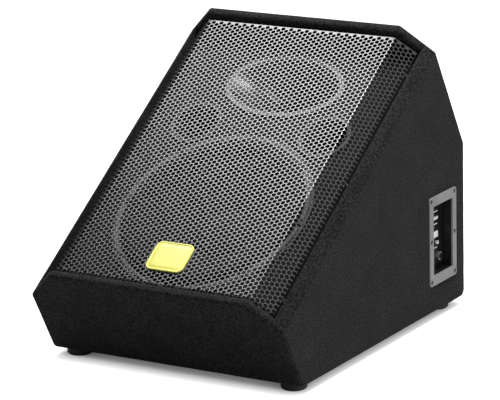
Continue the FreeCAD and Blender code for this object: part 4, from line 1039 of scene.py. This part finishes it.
# ---------------------------------------------------------------- badge and panel print
@dataclass
class BadgePlate:
    """A plain enamelled plate with a raised rim, on the lower part of the grille."""

    slope: Slope
    body: str
    across: float = 4.0
    rise: float = 67.0
    width: float = 59.0
    height: float = 50.0
    corner: float = 10.0
    base: float = -8.0
    thick: float = 2.5

    def loop(self, inset: float, lift: float) -> list[Vector]:
        """A rounded rectangle inside the plate's outline, at one height."""
        half_x, half_y = self.width / 2 - inset, self.height / 2 - inset
        radius = max(self.corner - inset, 0.6)
        points = []
        for quarter in range(4):
            sign_x = 1 if quarter in (0, 3) else -1
            sign_y = 1 if quarter in (0, 1) else -1
            for k in range(9):
                turn = math.pi / 2 * (quarter + k / 8)
                x = sign_x * (half_x - radius) + radius * math.cos(turn)
                y = sign_y * (half_y - radius) + radius * math.sin(turn)
                points.append(self.slope.at(self.across + x, self.rise + y, self.base + lift))
        return points

    def build(self) -> list[bpy.types.Object]:
        """Make the plate in place of its plain node."""
        steps = [(0.4, 0.0), (0.0, 0.4), (0.0, self.thick - 0.5), (0.5, self.thick),
                 (2.2, self.thick), (2.9, self.thick - 0.8), (4.4, self.thick - 0.8),
                 (5.0, self.thick - 0.45), (9.0, self.thick - 0.3)]

        def fill(work: bmesh.types.BMesh) -> None:
            loops = [[work.verts.new(p) for p in self.loop(*step)] for step in steps]
            bridged(work, loops)
            work.faces.new(loops[0][::-1])
            work.faces.new(loops[-1])
            bmesh.ops.recalc_face_normals(work, faces=work.faces)

        mesh = mesh_from("badge_enamelled", fill, sharp=35.0)
        piece = show("badge_enamelled", mesh, Finish.BADGE)
        return [fitted(piece, "badge_plate", "badge", self.body)]


@dataclass
class PanelPrint:
    """Plain white blocks printed on the floor of the socket recess.

    A block is its name, its middle along Y and Z, and its width and height, in millimetres.
    """

    body: str
    blocks: tuple[tuple[str, float, float, float, float], ...] = (
        ("wide_block", 212.5, 115.5, 15.0, 9.4), ("thin_block", 213.0, 139.5, 15.0, 4.5),
        ("upper_rule", 212.5, 149.6, 13.0, 1.2), ("lower_rule", 211.0, 96.0, 12.0, 1.2),
        ("middle_rule", 211.5, 131.0, 13.0, 1.2))
    ink: float = 0.12 * MM

    def build(self) -> list[bpy.types.Object]:
        """Print every block."""
        made = []
        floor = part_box("mode_switch_body")[1].x + 1.5 * MM
        for name, y, z, width, height in self.blocks:
            def fill(work: bmesh.types.BMesh) -> None:
                corners = [(-1, -1), (1, -1), (1, 1), (-1, 1)]
                rows = []
                for lift, shrink in ((0.0, 1.0), (self.ink, 0.98)):
                    rows.append([work.verts.new((
                        floor + lift, y * MM + a * width * MM / 2 * shrink,
                        z * MM + b * height * MM / 2 * shrink)) for a, b in corners])
                work.faces.new(rows[0][::-1])
                work.faces.new(rows[1])
                bridged(work, rows)
                bmesh.ops.recalc_face_normals(work, faces=work.faces)

            piece = show(name, mesh_from(name, fill, smooth=False), Finish.WHITE)
            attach(piece, self.body)
            made.append(piece)
        return made


# ---------------------------------------------------------------- wadding
@dataclass
class WaddingPad:
    """The loose polyester pad that lies inside on the bottom board."""

    body: str
    node: str = "damping_wadding"
    step: float = 9.0 * MM
    puff: float = 6.0 * MM

    def build(self) -> list[bpy.types.Object]:
        """Make the pad with sagging edges and an uneven top."""
        low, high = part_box(self.node)
        middle, half = (low + high) / 2, (high - low) / 2

        def fill(work: bmesh.types.BMesh) -> None:
            source = copied(self.node)
            gridded(source, self.step)
            source.normal_update()
            index = {}
            for vert in source.verts:
                share = [(vert.co[k] - middle[k]) / half[k] for k in range(3)]
                edge = min(1.0 - abs(share[0]), 1.0 - abs(share[1]))
                sag = 1.0 - 0.45 * math.exp(-12.0 * edge)
                lift = noise.noise(vert.co * 22.0) * self.puff * 0.5 - self.puff * 0.25
                top = share[2] > 0.0
                height = low.z + (vert.co.z - low.z) * sag + (lift * edge ** 0.3 if top else 0.0)
                pull = 1.0 - 0.012 * (1.0 - share[2] ** 2) - 0.004
                spot = Vector((middle.x + share[0] * half.x * pull,
                               middle.y + share[1] * half.y * pull, min(height, high.z)))
                index[vert] = work.verts.new(spot)
            for face in source.faces:
                work.faces.new([index[v] for v in face.verts])
            source.free()

        piece = show("wadding_pad", mesh_from("wadding_pad", fill), Finish.WADDING)
        fitted(piece, self.node, "wadding", self.body)
        return [piece]


# ---------------------------------------------------------------- studio
@dataclass(frozen=True)
class SoftBox:
    """One rectangular studio light aimed at a point."""

    name: str
    place: Point
    target: Point
    width: float
    height: float
    power: float

    def build(self) -> bpy.types.Object:
        """Hang the light."""
        lamp = bpy.data.lights.new(self.name, "AREA")
        lamp.shape = "RECTANGLE"
        lamp.size = self.width
        lamp.size_y = self.height
        lamp.energy = self.power
        item = bpy.data.objects.new(self.name, lamp)
        bpy.context.scene.collection.objects.link(item)
        item.location = self.place
        aim = Vector(self.target) - Vector(self.place)
        item.rotation_euler = aim.to_track_quat("-Z", "Y").to_euler()
        return item


@dataclass
class Studio:
    """White floor, soft lights and the camera."""

    slope: Slope
    eye: Point = (2.10144, -3.47754, 1.28220)
    target: Point = (-0.16087, 0.27133, 0.11218)
    roll: float = -1.416
    focal: float = 216.61
    sky: float = 0.22
    backdrop: float = 1.1
    gloss_reach: float = 1.5
    floor_reach: float = 14.0

    def floor(self) -> bpy.types.Object:
        """Lay the studio floor a hair under the feet."""
        def build(work: bmesh.types.BMesh) -> None:
            bmesh.ops.create_grid(work, x_segments=24, y_segments=24, size=self.floor_reach)
            bmesh.ops.translate(work, verts=work.verts, vec=(0.0, 0.0, -0.0002))

        piece = show("studio_floor", mesh_from("studio_floor", build), Finish.CARPET)
        piece.data.materials[0] = FloorSweep().make()
        return piece

    def camera(self) -> bpy.types.Object:
        """Set the camera at the working viewpoint."""
        lens = bpy.data.cameras.new("studio_camera")
        lens.lens = self.focal
        lens.sensor_width = 36.0
        lens.clip_end = 50.0
        item = bpy.data.objects.new("studio_camera", lens)
        bpy.context.scene.collection.objects.link(item)
        ahead = (Vector(self.target) - Vector(self.eye)).normalized()
        across = ahead.cross(Vector((0.0, 0.0, 1.0))).normalized()
        above = across.cross(ahead)
        turn = math.radians(self.roll)
        right = across * math.cos(turn) + above * math.sin(turn)
        top = above * math.cos(turn) - across * math.sin(turn)
        matrix = Matrix((right, top, -ahead)).transposed().to_4x4()
        matrix.translation = Vector(self.eye)
        item.matrix_world = matrix
        bpy.context.scene.camera = item
        return item

    def surroundings(self) -> None:
        """Set a white backdrop that lights the wedge less than it looks."""
        world = bpy.data.worlds.new("white_room")
        world.use_nodes = True
        nodes, links = world.node_tree.nodes, world.node_tree.links
        shown = nodes["Background"]
        shown.inputs["Color"].default_value = (1.0, 1.0, 1.0, 1.0)
        shown.inputs["Strength"].default_value = self.backdrop
        fill = nodes.new("ShaderNodeBackground")
        fill.inputs["Color"].default_value = (1.0, 1.0, 1.0, 1.0)
        fill.inputs["Strength"].default_value = self.sky
        path = nodes.new("ShaderNodeLightPath")
        mix = nodes.new("ShaderNodeMixShader")
        links.new(path.outputs["Is Camera Ray"], mix.inputs["Fac"])
        links.new(fill.outputs["Background"], mix.inputs[1])
        links.new(shown.outputs["Background"], mix.inputs[2])
        links.new(mix.outputs["Shader"], nodes["World Output"].inputs["Surface"])
        bpy.context.scene.world = world
        bpy.context.scene.view_settings.view_transform = "Standard"

    def lights(self) -> list[bpy.types.Object]:
        """Hang the soft boxes: one mirrored in the grille, one at the right, one overhead."""
        spot = self.slope.at(70.0, 400.0, -8.0)
        view = (Vector(self.eye) - spot).normalized()
        facing = self.slope.outward
        mirror = facing * (2.0 * view.dot(facing)) - view
        high = spot + mirror * self.gloss_reach
        boxes = [
            SoftBox("gloss_box", tuple(high), tuple(spot), 0.7, 0.6, 15.5),
            SoftBox("horn_glint", (0.365, 0.050, 1.449), (-0.073, 0.114, 0.334), 0.2, 0.2, 12.0),
            SoftBox("right_box", (3.0, -0.8, 1.6), (0.1, 0.0, 0.2), 1.4, 1.4, 55.0),
            SoftBox("top_box", (0.2, 0.7, 2.6), (0.0, 0.1, 0.2), 1.6, 1.6, 38.0),
        ]
        return [box.build() for box in boxes]

    def build(self) -> list[bpy.types.Object]:
        """Make the whole studio."""
        self.surroundings()
        return [self.floor(), self.camera(), *self.lights()]


# ---------------------------------------------------------------- assembly
@dataclass
class Wedge:
    """The whole monitor: its frame nodes dressed, and the pieces that replace some."""

    frame: dict
    cabinet: str = "cabinet"

    def dress_nodes(self) -> None:
        """Give every frame node that stays its finish."""
        for finish, nodes in NODE_FINISH.items():
            for name in nodes:
                mesh = self.frame["nodes"][name].data
                mesh.materials.clear()
                mesh.materials.append(finish.material)
                LOG.info("dressed %s with %s", name, finish.value.name)

    def build(self, slope: Slope) -> None:
        """Dress the nodes and build each sub-assembly.

        Args:
            slope: frame of the sloping front.
        """
        self.dress_nodes()
        right, left, down = Vector((1, 0, 0)), Vector((-1, 0, 0)), Vector((0, 0, -1))
        out, black = slope.outward, Finish.BLACK_STEEL
        parts = [
            CarpetCover(self.cabinet),
            PerforatedGrille(slope, self.cabinet),
            BadgePlate(slope, self.cabinet),
            WooferSuspension(slope),
            PanelPrint(self.cabinet),
            WaddingPad(self.cabinet),
            ScrewSet("panel_screws", "black_steel", black, right, self.cabinet),
            ScrewSet("handle_screws", "black_steel", black, left, self.cabinet),
            ScrewSet("grille_screws", "black_steel", black, out, self.cabinet),
            ScrewSet("woofer_screws", "zinc_steel", Finish.DULL_ZINC, out, self.cabinet),
            ScrewSet("foot_screws", "zinc_steel", Finish.ZINC, down, self.cabinet),
        ]
        for part in parts:
            for piece in part.build():
                LOG.info("built %s", piece.name)


def main() -> None:
    """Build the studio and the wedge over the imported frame."""
    logging.basicConfig(level=logging.INFO, format="%(name)s: %(message)s")
    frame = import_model()
    slope = Slope.read(frame["joints"], frame["nodes"]["grille"])
    for item in Studio(slope).build():
        LOG.info("placed %s", item.name)
    Wedge(frame).build(slope)


if __name__ == "__main__":
    main()
